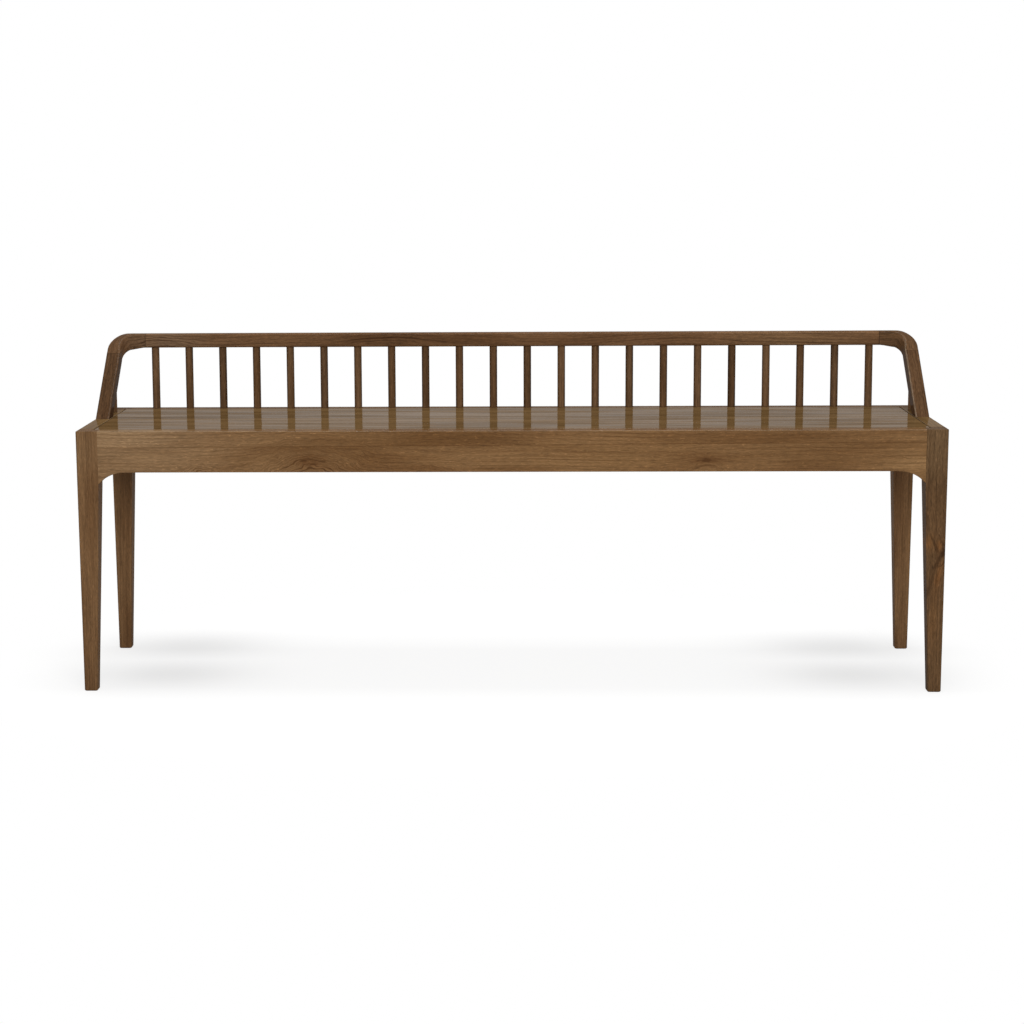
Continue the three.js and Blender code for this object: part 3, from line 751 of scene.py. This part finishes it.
def makeLegs():
    fromX, fromY = legs["logFrom"]
    for endName, signY in (("front", -1), ("rear", 1)):
        for sideName, signX in sides.items():
            place = f"{endName}_{sideName}"
            bm = worked(legBlank(), "DIFFERENCE", legTools())
            mirrorPiece(bm, signX, signY)
            log = Vector(legs["logs"][place]) - Vector((0, fromX * signX, fromY * signY))
            markGrain(bm, grainAlong["Z"], log)
            finishPiece(f"leg_{place}", bm, "leg", legs["tones"][place])


# A rail's face: half of its outline round one arch, mirrored and filled
def archedFace(half):
    bottom = bench["seat"] - rails["height"]
    radius = (rails["archRun"] ** 2 + rails["archDrop"] ** 2) / (2 * rails["archDrop"])
    bm = bmesh.new()
    archTop = bm.verts.new((half - rails["archRun"], 0, bottom))
    arch = bmesh.ops.spin(
        bm, geom=[archTop], cent=(half - rails["archRun"], 0, bottom - radius), axis=(0, 1, 0),
        angle=math.asin(rails["archRun"] / radius), steps=rails["archSteps"], use_duplicate=False,
    )
    toe = vertsOf(arch["geom_last"])[0]
    middleLow = bm.verts.new((0, 0, bottom))
    middleHigh = bm.verts.new((0, 0, bench["seat"]))
    endHigh = bm.verts.new((half, 0, bench["seat"]))
    for pair in ((middleLow, archTop), (toe, endHigh), (endHigh, middleHigh)):
        bm.edges.new(pair)
    close = bench["tolerance"]
    bmesh.ops.mirror(bm, geom=bm.verts[:] + bm.edges[:], axis="X", merge_dist=close)
    bmesh.ops.remove_doubles(bm, verts=bm.verts, dist=close)
    bmesh.ops.edgeloop_fill(bm, edges=bm.edges[:])
    return bm


# A rail with an arch under each end and a tenon on it; half is half of its length at the joints
def archedRail(half):
    bm = archedFace(half)
    grown = bmesh.ops.extrude_face_region(bm, geom=bm.faces[:])["geom"]
    bmesh.ops.translate(bm, vec=(0, rails["thickness"], 0), verts=vertsOf(grown))
    bmesh.ops.recalc_face_normals(bm, faces=bm.faces)
    long, upright = [], []
    for edge in bm.edges:
        a, b = (vertex.co for vertex in edge.verts)
        atEnd = min(abs(a.x), abs(b.x)) > half - bench["tolerance"]
        if abs(a.y - b.y) < bench["tolerance"]:
            (upright if atEnd else long).append(edge)
    roundOff(bm, long, rails["ease"])
    roundOff(bm, [edge for edge in upright if edge.is_valid], rails["jointEase"], segments=1)
    side = (rails["thickness"] - rails["tenonThickness"]) / 2
    low, high = archToe + rails["tenonShoulder"], bench["seat"] - rails["tenonShoulder"]
    root, tip = half - rails["tenonRoot"], half + rails["tenonLength"]
    tenons = [
        block(*sorted((sign * root, sign * tip)), side, rails["thickness"] - side, low, high)
        for sign in (-1, 1)
    ]
    return worked(bm, "UNION", tenons)


bearers = {"count": 3, "width": 24, "height": 44, "tenon": 8, "shoulder": 6}


def bearerMortises():
    gap = bench["fitGap"]
    pitch = 2 * legInnerX / (bearers["count"] + 1)
    half = bearers["width"] / 2 - bearers["shoulder"] + gap
    low = seatUnder - bearers["height"] + bearers["shoulder"] - gap
    high = seatUnder - bearers["shoulder"] + gap
    places = [pitch * (i + 1) - legInnerX for i in range(bearers["count"])]
    return [
        block(x - half, x + half, -bench["overrun"], bearers["tenon"] + gap, low, high)
        for x in places
    ]


# the upper front arris is painted pale, partly as wear, partly as a painted highlight
def upperArrisWearAndHighlight(co):
    reach = rails["wearAndHighlightReach"] * rails["ease"]
    onArris = co.z > bench["seat"] - reach and co.y > bench["halfDepth"] - reach
    return rails["wearAndHighlight"] if onArris else 0.0


def makeLongRails():
    for name, sign in (("front_rail", -1), ("rear_rail", 1)):
        bm = worked(archedRail(legInnerX), "DIFFERENCE", bearerMortises())
        moveBy(bm, 0, railInnerY, 0)
        if sign > 0:
            bm = worked(bm, "DIFFERENCE", spindleHoles(-spindles["holeDepth"], bench["overrun"]))
        markWearAndHighlight(bm, upperArrisWearAndHighlight)
        mirrorPiece(bm, 1, sign)
        markGrain(bm, grainAlong["X"], rails["logs"][name])
        finishPiece(name, bm, "apron", rails["tones"][name])


# The side rails' inner faces lie in the groove at each end of the seat, and are darkened there with
# a painted shade
def makeSideRails():
    gap, over = bench["fitGap"], bench["overrun"]
    quarterTurn = Matrix.Rotation(-math.pi / 2, 3, "Z")
    for sideName, sign in sides.items():
        name = f"side_rail_{sideName}"
        bm = archedRail(legInnerY)
        bmesh.ops.rotate(bm, cent=(0, 0, 0), matrix=quarterTurn, verts=bm.verts)
        moveBy(bm, railInnerX, 0, 0)
        bm = worked(bm, "DIFFERENCE", [
            armTenon(over, gap),
            rod(spindles["tenon"] / 2 + gap, bench["seat"] - spindles["holeDepth"],
                bench["seat"] + over, sideSpindleX, sideSpindleY),
        ])
        inner = railInnerX + bench["tolerance"]
        # painted shade: the inner face in the groove is made darker
        markTone(bm, lambda co: rails["paintedGrooveShade"] if co.x < inner else 0.0)
        mirrorPiece(bm, sign, 1)
        markGrain(bm, grainAlong["Y"], rails["logs"][name])
        finishPiece(name, bm, "sideRail", rails["tones"][name])


boards = {
    "count": 4, "thickness": 20, "gap": 0.3, "groove": 2.5, "panelFit": 0.4,
    "arris": 0.35, "arrisSteps": 2, "openArris": (0.9, 0.35, 0.9, 0.35),   # on each front edge
    "tones": (0.0, 0.06, -0.05, 0.02),
    "logs": ((0, 40, -500), (2300, -96, -412), (4100, 60, -505), (6600, -150, -400)),
}
seatUnder = bench["seat"] - boards["thickness"]


def makeBoards():
    half = railInnerX - boards["groove"]
    edge = railInnerY - boards["panelFit"]
    pitch = (2 * edge + boards["gap"]) / boards["count"]
    for i in range(boards["count"]):
        front = -edge + i * pitch
        back = front + pitch - boards["gap"]
        bm = block(-half, half, front, back, seatUnder, bench["seat"])
        at = Vector((0, front, bench["seat"]))
        frontArris = [
            e for e in bm.edges if all((v.co - at).yz.length < bench["tolerance"] for v in e.verts)
        ]
        others = [e for e in bm.edges if e not in frontArris]
        roundOff(bm, frontArris, boards["openArris"][i])
        roundOff(bm, [e for e in others if e.is_valid], boards["arris"], boards["arrisSteps"])
        markGrain(bm, grainAlong["X"], boards["logs"][i])
        finishPiece(f"seat_board_{i + 1}", bm, "seat", boards["tones"][i])


# The hoop of timber over the seat: back rail, bent corners and arms
hoop = {
    "railDepth": 22, "railHeight": 25.4, "armWidth": 24.6, "armInset": 0.4, "armThickness": 27.4,
    "edge": 3.2, "edgeSteps": 5, "radius": 33, "lead": 20, "tail": 3, "cornerSteps": 56,
    "toe": -4.5,                                     # where the arm's upper face meets the seat
    "belly": 4, "bellyEnd": 46.5,                    # the corner hangs deeper in its bend
    "fallPlace": 25, "fallLead": 13, "fallTail": 30,
    "softEdge": 4, "softStart": -4, "softEnd": 56,   # and its crest is rounded more
    "tenonThickness": 10, "tenonDepth": 14, "tenonShoulder": 6, "tenonRoot": 2,
    "slipThickness": 7.6, "slipWidth": 14.6, "slipDepth": 11.15, "slipMargin": 2,
    "socketGap": 0.1, "socketSpare": 1.5,            # round and above a side spindle's head
    # the arms' darker tones are partly painted shade, taking back the top light that their
    # upward-sloping faces catch
    "tones": {
        "back_top_rail": 0.1, "back_corner_left": -0.08, "back_corner_right": -0.25,
        "arm_left": -0.36, "arm_right": -0.32,
    },
    "logs": {
        "back_top_rail": (0, -146, -548),
        "back_corner_left": (900, 40, 22), "back_corner_right": (3300, 52, -31),
        "arm_left": (900, 40, 22), "arm_right": (3300, 52, -31),
    },
    # the arms' inner arris is painted pale, partly as wear, partly as a painted highlight
    "wearAndHighlight": {"left": 0.12, "right": 0.75}, "wearAndHighlightReach": 0.6,
    "seamWidth": 1.6, "railSeam": -0.28, "armSeam": -0.1,
    "runDigits": 3,                                  # places this alike in run share a slice
}

hoopSideX = bench["halfLength"] - hoop["armInset"] - hoop["armWidth"] / 2
bendStartX = hoopSideX - hoop["radius"]
bendEndY = bench["halfDepth"] - hoop["railDepth"] / 2 - hoop["radius"]
bendRun = hoop["radius"] * math.pi / 2
railCentreZ = bench["railTop"] - hoop["railHeight"] / 2
armRise = railCentreZ - bench["seat"]
armReach = bendRun + bendEndY - hoop["fallPlace"] - hoop["toe"]
# The arm falls so steeply that its upper face, half a thickness off its axis, ends at the toe
armHalf = hoop["armThickness"] / 2
armSquare = armReach ** 2 - armHalf ** 2
armSlope = (armRise * armReach + armHalf * math.sqrt(armRise ** 2 + armSquare)) / armSquare
armHalfRise = armHalf * math.hypot(1, armSlope)
fallStart = hoop["fallPlace"] - hoop["fallLead"]
fallEnd = hoop["fallPlace"] + hoop["fallTail"]
cornerEnd = fallEnd + hoop["tail"]
railJoint = -hoop["lead"]
armStart = cornerEnd + bench["fitGap"]
armEnd = bendRun + bendEndY - hoop["toe"] + hoop["armThickness"]


# How far the hoop has fallen at a run from the bend's start, and how steeply it falls there
def fallAt(run):
    if run <= fallStart:
        return 0.0, 0.0
    if run >= fallEnd:
        return armSlope * (run - hoop["fallPlace"]), armSlope
    # between them it eases into its slope along a parabola
    bend = hoop["fallTail"] - hoop["fallLead"]
    along = run - fallStart
    share = along / (hoop["fallLead"] + math.sqrt(hoop["fallLead"] ** 2 + bend * along))
    slope = armSlope * hoop["fallTail"] * share / (hoop["fallLead"] + bend * share)
    return armSlope * hoop["fallTail"] * share ** 2, slope


def shareOf(value, start, end):
    return min(max((value - start) / (end - start), 0.0), 1.0)


# From 0 at the start to 1 at the end, softly
def smoothShare(value, start, end):
    share = shareOf(value, start, end)
    return share * share * (3 - 2 * share)


# 0 at both ends, and softly up to 1 half way
def swellShare(value, start, end):
    share = shareOf(value, start, end)
    return (4 * share * (1 - share)) ** 2


# The hoop's section at a run: x is outward and y upward
def hoopRing(run):
    wider = smoothShare(run, 0, bendRun)
    wide = hoop["railDepth"] + (hoop["armWidth"] - hoop["railDepth"]) * wider
    thicker = smoothShare(run, bendRun, fallEnd)
    high = hoop["railHeight"] + (hoop["armThickness"] - hoop["railHeight"]) * thicker
    belly = hoop["belly"] * swellShare(run, railJoint, hoop["bellyEnd"])
    soft = hoop["softEdge"] * swellShare(run, hoop["softStart"], hoop["softEnd"])
    return {
        "z": run, "x0": -wide / 2, "x1": wide / 2, "y0": -high / 2 - belly, "y1": high / 2,
        "outer": hoop["edge"], "inner": hoop["edge"], "crest": hoop["edge"] + soft,
    }


# Carries the plane z = run of a straight piece to its place on the hoop
def hoopMatrix(run):
    angle = min(max(run / hoop["radius"], 0.0), math.pi / 2)
    drop, slope = fallAt(run)
    forward = Vector((math.cos(angle), -math.sin(angle), -slope)).normalized()
    outward = Vector((math.sin(angle), math.cos(angle), 0))
    upward = forward.cross(outward)
    place = Vector((
        bendStartX + min(run, 0) + hoop["radius"] * math.sin(angle),
        bendEndY + hoop["radius"] * math.cos(angle) - max(run - bendRun, 0),
        railCentreZ - drop,
    ))
    turn = Matrix((outward, upward, forward)).transposed().to_4x4()
    return Matrix.Translation(place) @ turn @ Matrix.Translation((0, 0, -run))


def bendToHoop(bm):
    slices = {}
    for vertex in bm.verts:
        slices.setdefault(round(vertex.co.z, hoop["runDigits"]), []).append(vertex)
    for run, verts in slices.items():
        bmesh.ops.transform(bm, matrix=hoopMatrix(run), verts=verts)


# Sinks the slip tenon's mortise into the end face at a run, before the piece is bent
def cutSlipMortise(bm, run, inward):
    end = next(f for f in bm.faces if all(abs(v.co.z - run) < bench["tolerance"] for v in f.verts))
    bmesh.ops.inset_region(bm, faces=[end], thickness=hoop["slipMargin"], use_even_offset=True)
    ring = hoopRing(run)
    wide = ring["x1"] - ring["x0"] - 2 * hoop["slipMargin"]
    high = ring["y1"] - ring["y0"] - 2 * hoop["slipMargin"]
    bmesh.ops.scale(
        bm, vec=(hoop["slipThickness"] / wide, hoop["slipWidth"] / high, 1), verts=end.verts)
    sunk = bmesh.ops.extrude_discrete_faces(bm, faces=[end])["faces"][0]
    bmesh.ops.translate(bm, vec=(0, 0, inward * hoop["slipDepth"]), verts=sunk.verts)


# The line of a glued joint is a little darker than the wood beside it
def markSeam(bm, run, depth):
    markTone(bm, lambda co: depth if abs(co.z - run) < bench["tolerance"] else 0.0)


# Paints the middle of the rounding between the upper face and the inner one pale, as wear and as a
# painted highlight, along the arm only
def markInnerWearAndHighlight(bm, amount):
    def wearAndHighlightAt(co):
        ring = hoopRing(co.z)
        reach = hoop["wearAndHighlightReach"] * ring["crest"]
        onArris = co.x < ring["x0"] + reach and co.y > ring["y1"] - reach
        return amount * smoothShare(co.z, bendRun / 2, cornerEnd) if onArris else 0.0
    markWearAndHighlight(bm, wearAndHighlightAt)


# The stub tenon under an arm's foot, or its mortise where there is room to spare round it
def armTenon(rise, spare=0.0):
    half = hoop["tenonThickness"] / 2 + spare
    start = hoop["toe"] + hoop["tenonShoulder"] - spare
    end = hoop["toe"] + 2 * armHalfRise / armSlope - hoop["tenonShoulder"] + spare
    return block(hoopSideX - half, hoopSideX + half, start, end,
                 bench["seat"] - hoop["tenonDepth"] - spare, bench["seat"] + rise)


def makeCorner(sideName, sign):
    name = f"back_corner_{sideName}"
    step = (cornerEnd - railJoint) / hoop["cornerSteps"]
    rings = [hoopRing(railJoint + step * i) for i in range(hoop["cornerSteps"] + 1)]
    bm = stackRings(rings, hoop["edgeSteps"])
    markSeam(bm, railJoint, hoop["railSeam"])
    markSeam(bm, cornerEnd, hoop["armSeam"])
    cutSlipMortise(bm, railJoint, 1)
    cutSlipMortise(bm, cornerEnd, -1)
    markGrain(bm, grainAlong["Z"], hoop["logs"][name])
    markInnerWearAndHighlight(bm, hoop["wearAndHighlight"][sideName])
    bendToHoop(bm)
    mirrorPiece(bm, sign, 1)
    finishPiece(name, bm, "hoop", hoop["tones"][name])


def makeArm(sideName, sign):
    name = f"arm_{sideName}"
    seat = bench["seat"]
    rings = [hoopRing(run) for run in (armStart, armStart + hoop["seamWidth"], armEnd)]
    bm = stackRings(rings, hoop["edgeSteps"])
    markSeam(bm, armStart, hoop["armSeam"])
    cutSlipMortise(bm, armStart, 1)
    markInnerWearAndHighlight(bm, hoop["wearAndHighlight"][sideName])
    bendToHoop(bm)
    cut = bmesh.ops.bisect_plane(
        bm, geom=bm.verts[:] + bm.edges[:] + bm.faces[:], plane_co=(0, 0, seat),
        plane_no=(0, 0, -1), clear_outer=True,
    )
    bmesh.ops.edgeloop_fill(bm, edges=edgesOf(cut["geom_cut"]))
    bm = worked(bm, "UNION", [armTenon(hoop["tenonRoot"])])
    socket = rod(spindles["diameter"] / 2 + hoop["socketGap"], seat + hoop["tenonRoot"],
                 sideSpindleTop + hoop["socketSpare"], sideSpindleX, sideSpindleY)
    bm = worked(bm, "DIFFERENCE", [socket])
    # the cuts have left it without its straight places, so the grain is found from its end
    markGrain(bm, grainAlong["Z"] @ hoopMatrix(armEnd).inverted(), hoop["logs"][name])
    mirrorPiece(bm, sign, 1)
    finishPiece(name, bm, "hoop", hoop["tones"][name])


def makeBackRail():
    name = "back_top_rail"
    gap = bench["fitGap"]
    half = bendStartX + railJoint - gap
    ends = (railJoint - gap - 2 * half, railJoint - gap)
    seams = (ends[0] + hoop["seamWidth"], ends[1] - hoop["seamWidth"])
    bm = stackRings([hoopRing(run) for run in sorted(ends + seams)], hoop["edgeSteps"])
    for run, inward in zip(ends, (1, -1)):
        markSeam(bm, run, hoop["railSeam"])
        cutSlipMortise(bm, run, inward)
    bendToHoop(bm)
    top = spindles["rise"]
    holes = spindleHoles(top - bench["overrun"], top + spindles["holeDepth"])
    bm = worked(bm, "DIFFERENCE", holes)
    markGrain(bm, grainAlong["X"], hoop["logs"][name])
    finishPiece(name, bm, "hoop", hoop["tones"][name])


def makeHoop():
    for sideName, sign in sides.items():
        makeCorner(sideName, sign)
        makeArm(sideName, sign)
    makeBackRail()


spindles = {
    "count": 22, "endInset": 82.5, "diameter": 14, "tenon": 10, "tenonLength": 11,
    "holeDepth": 12.5, "footY": 160.5, "headY": 164, "sides": 40, "ease": 1.2, "easeSteps": 3,
    "rise": bench["railTop"] - hoop["railHeight"] - bench["seat"],
    "sideInset": 22.8, "sideEntry": 9,     # a side spindle's place, and how far it enters the arm
    # painted shade: each spindle grows darker towards its sides, as a round does where the front
    # light falls off
    "paintedEdgeShade": -0.45, "edgePower": 3,    # darker towards its sides
    # each spindle has its own tone and its own place in the log, and the side spindles are painted
    # lighter, a painted light where the lamps leave them dark
    "toneSpread": 0.14, "toneTurn": 2.1, "toneStart": 0.6, "sideSpindlePaintedLight": 0.25,
    "logStep": 730, "logMiddle": 30, "logSway": (17, 25), "logTurn": (2.4, 1.7),
    "sideLog": (900, 30, 20),
}
spindlePlaces = [
    (i / (spindles["count"] - 1) - 0.5) * 2 * (bench["halfLength"] - spindles["endInset"])
    for i in range(spindles["count"])
]
sideSpindleX = bench["halfLength"] - rails["thickness"] / 2
sideSpindleY = bendEndY + bendRun - cornerEnd - spindles["sideInset"]
armUnderRun = sideSpindleY + spindles["diameter"] / 2 - hoop["toe"]
armUnder = bench["seat"] + armUnderRun * armSlope - 2 * armHalfRise
sideSpindleTop = armUnder + spindles["sideEntry"]


def leanInBack(bm, x):
    lean = Matrix.Identity(4)
    lean[1][2] = (spindles["headY"] - spindles["footY"]) / spindles["rise"]
    place = Matrix.Translation((x, spindles["footY"], bench["seat"]))
    bmesh.ops.transform(bm, matrix=place @ lean, verts=bm.verts)


def spindleHoles(z0, z1):
    holes = []
    for x in spindlePlaces:
        hole = rod(spindles["tenon"] / 2 + bench["fitGap"], z0, z1)
        leanInBack(hole, x)
        holes.append(hole)
    return holes


# Pairs of radius and height, from the bottom up, turned on the Z axis
def turnedPiece(profile):
    bm = bmesh.new()
    radius, height = profile[0]
    bmesh.ops.create_circle(bm, cap_ends=True, segments=spindles["sides"], radius=radius)
    moveBy(bm, 0, 0, height)
    edges = bm.edges[:]
    for nextRadius, nextHeight in profile[1:]:
        verts, edges = drawOut(bm, edges)
        grow = nextRadius / radius
        bmesh.ops.scale(bm, vec=(grow, grow, 1), verts=verts)
        bmesh.ops.translate(bm, vec=(0, 0, nextHeight - height), verts=verts)
        radius, height = nextRadius, nextHeight
    bmesh.ops.edgeloop_fill(bm, edges=edges)
    return bm


# The rounded shoulder of a spindle; sign is 1 at its top and -1 at its foot
def easedEnd(radius, height, sign):
    steps = quarterRound(spindles["ease"], spindles["easeSteps"])
    points = [(radius - inset, height - sign * drop) for inset, drop in steps]
    return points if sign > 0 else points[::-1]


def makeBackSpindle(i, x):
    radius, tenon = spindles["diameter"] / 2, spindles["tenon"] / 2
    rise, length = spindles["rise"], spindles["tenonLength"]
    bm = turnedPiece([
        (tenon, -length), (tenon, 0), *easedEnd(radius, 0, -1), *easedEnd(radius, rise, 1),
        (tenon, rise), (tenon, rise + length),
    ])
    shade, power = spindles["paintedEdgeShade"], spindles["edgePower"]
    # painted shade, darker towards the spindle's sides
    markTone(bm, lambda co: shade * min(abs(co.x) / radius, 1.0) ** power)
    leanInBack(bm, x)
    swayY, swayZ = spindles["logSway"]
    turnY, turnZ = spindles["logTurn"]
    log = Vector((i * spindles["logStep"], spindles["logMiddle"] + swayY * math.sin(i * turnY),
                  swayZ * math.cos(i * turnZ)))
    markGrain(bm, grainAlong["Z"], log - Vector((0, x, spindles["footY"])))
    tone = spindles["toneSpread"] * math.sin(i * spindles["toneTurn"] + spindles["toneStart"])
    finishPiece(f"spindle_{i + 1:02d}", bm, "spindle", tone)


# Its head runs up into the arm's socket, so only its foot has a shoulder and a tenon
def makeSideSpindle(sideName, sign):
    seat = bench["seat"]
    radius, tenon = spindles["diameter"] / 2, spindles["tenon"] / 2
    bm = turnedPiece([
        (tenon, seat - spindles["tenonLength"]), (tenon, seat), *easedEnd(radius, seat, -1),
        (radius, sideSpindleTop),
    ])
    moveBy(bm, sign * sideSpindleX, sideSpindleY, 0)
    logX, logY, logZ = spindles["sideLog"]
    log = (sign * logX, logY - sign * sideSpindleX, logZ - sideSpindleY)
    markGrain(bm, grainAlong["Z"], log)
    # painted light: the side spindle is made lighter where the lamps leave it dark
    finishPiece(f"side_spindle_{sideName}", bm, "spindle", spindles["sideSpindlePaintedLight"])


def makeSpindles():
    for i, x in enumerate(spindlePlaces):
        makeBackSpindle(i, x)
    for sideName, sign in sides.items():
        makeSideSpindle(sideName, sign)


# Bearers, cleats, slip tenons and screws keep their solids
def dressSolids():
    dresses = {
        "screw": steel, "seat_bearer": woods["underframe"], "seat_cleat": woods["underframe"],
        "arm_slip_tenon": woods["slipTenon"], "corner_slip_tenon": woods["slipTenon"],
    }
    for name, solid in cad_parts.items():
        for start, dress in dresses.items():
            if name.startswith(start):
                for slot in solid.material_slots:
                    slot.material = dress


studio = {
    "floorSize": 60, "floorColour": 0.8, "skyLight": 0.3,
    # by the bench the floor's own glow is a little under white, so that the shadow on it shows
    "nearGlow": 0.85, "nearLit": 0.24,
    "nearEdge": 0.8, "farEdge": 1.05, "shadowReach": (0.95, 0.66),
    # and a painted shadow deepens the shade inside the legs at each end
    "paintedShadowMiddle": (0.0, 0.06, 0.0), "paintedShadowPlace": (0.61, 0.11, 0.0),
    "paintedShadowSpread": (0.14, 0.10, 1.0), "paintedShadowDepth": 0.16,
    "lamps": {
        "top": {"place": (0, 0, 3.2), "aim": (0, 0, 0), "size": (1.8, 0.8), "power": 38},
        "front": {"place": (0.5, -4.2, 1.75), "aim": (0, 0, 0.4), "size": (2.6, 1.4), "power": 95},
        "spark": {"place": (-0.5, -2.3, 2.3), "aim": (0, 0, 0.45), "size": (0.5, 0.3), "power": 4},
    },
}


def seesBackground(tree):
    rays = addNode(tree, "LightPath").outputs
    seen = maths(tree, "MAXIMUM", rays["Is Camera Ray"], rays["Is Glossy Ray"])
    return maths(tree, "MAXIMUM", seen, rays["Is Transmission Ray"])


# How brightly the floor glows at a place, less where a shadow is painted inside the legs, and how
# near it is to the bench, from 0 to 1
def floorGlow(tree, place):
    reachX, reachY = studio["shadowReach"]
    flat = vectorMaths(tree, "MULTIPLY", place, (1 / reachX, 1 / reachY, 0.0))
    far = ramp(tree, vectorMaths(tree, "LENGTH", flat), studio["nearEdge"], studio["farEdge"])
    away = vectorMaths(tree, "SUBTRACT", place, studio["paintedShadowMiddle"])
    away = vectorMaths(tree, "SUBTRACT", vectorMaths(tree, "ABSOLUTE", away), studio["paintedShadowPlace"])
    paintedShadow = softSpot(tree, vectorMaths(tree, "DIVIDE", away, studio["paintedShadowSpread"]))
    glow = weigh(tree, studio["nearGlow"], (far, 1 - studio["nearGlow"]))
    return weigh(tree, glow, (paintedShadow, -studio["paintedShadowDepth"])), maths(tree, "SUBTRACT", 1.0, far)


# The floor that is seen is white with the bench's shadow from the lamps and a painted shadow inside
# the legs; the one that lights the bench is plain
def makeFloor():
    bm = bmesh.new()
    bmesh.ops.create_grid(bm, x_segments=1, y_segments=1, size=studio["floorSize"] / 2)
    floor = looseObject("floor", bm)
    material, tree, shader = newMaterial("floor")
    tree.nodes.remove(shader)
    glow, near = floorGlow(tree, addNode(tree, "TexCoord").outputs["Object"])
    white = addNode(tree, "Emission", {"Strength": glow}).outputs[0]
    lit = addNode(tree, "BsdfDiffuse", {"Color": scaled(tree, (studio["nearLit"],) * 3, near)})
    shown = addNode(tree, "AddShader", {0: white, 1: lit.outputs[0]}).outputs[0]
    plain = addNode(tree, "BsdfDiffuse", {"Color": (*(studio["floorColour"],) * 3, 1)}).outputs[0]
    chosen = addNode(tree, "MixShader", {0: seesBackground(tree), 1: plain, 2: shown}).outputs[0]
    feed(tree, tree.nodes["Material Output"], {"Surface": chosen})
    floor.data.materials.append(material)


def makeLight():
    world = bpy.data.worlds.new("studio")
    bpy.context.scene.world = world
    world.use_nodes = True
    tree = world.node_tree
    inputs = {"Value": seesBackground(tree), "To Min": studio["skyLight"], "To Max": 1}
    strength = addNode(tree, "MapRange", inputs).outputs["Result"]
    feed(tree, tree.nodes["Background"], {"Color": (1, 1, 1, 1), "Strength": strength})
    for name, lamp in studio["lamps"].items():
        light = bpy.data.lights.new(name, "AREA")
        light.shape = "RECTANGLE"
        light.size, light.size_y = lamp["size"]
        light.energy = lamp["power"]
        aim = Vector(lamp["aim"]) - Vector(lamp["place"])
        turn = aim.to_track_quat("-Z", "Y").to_matrix().to_4x4()
        addObject(name, light).matrix_world = Matrix.Translation(lamp["place"]) @ turn


bpy.context.scene.view_settings.view_transform = "Standard"
makeCamera()
makeFloor()
makeLight()
print("camera, floor and lamps ready")
makeLegs()
makeLongRails()
makeSideRails()
print("legs and rails ready")
makeBoards()
makeHoop()
makeSpindles()
dressSolids()
print("seat, hoop and spindles ready")
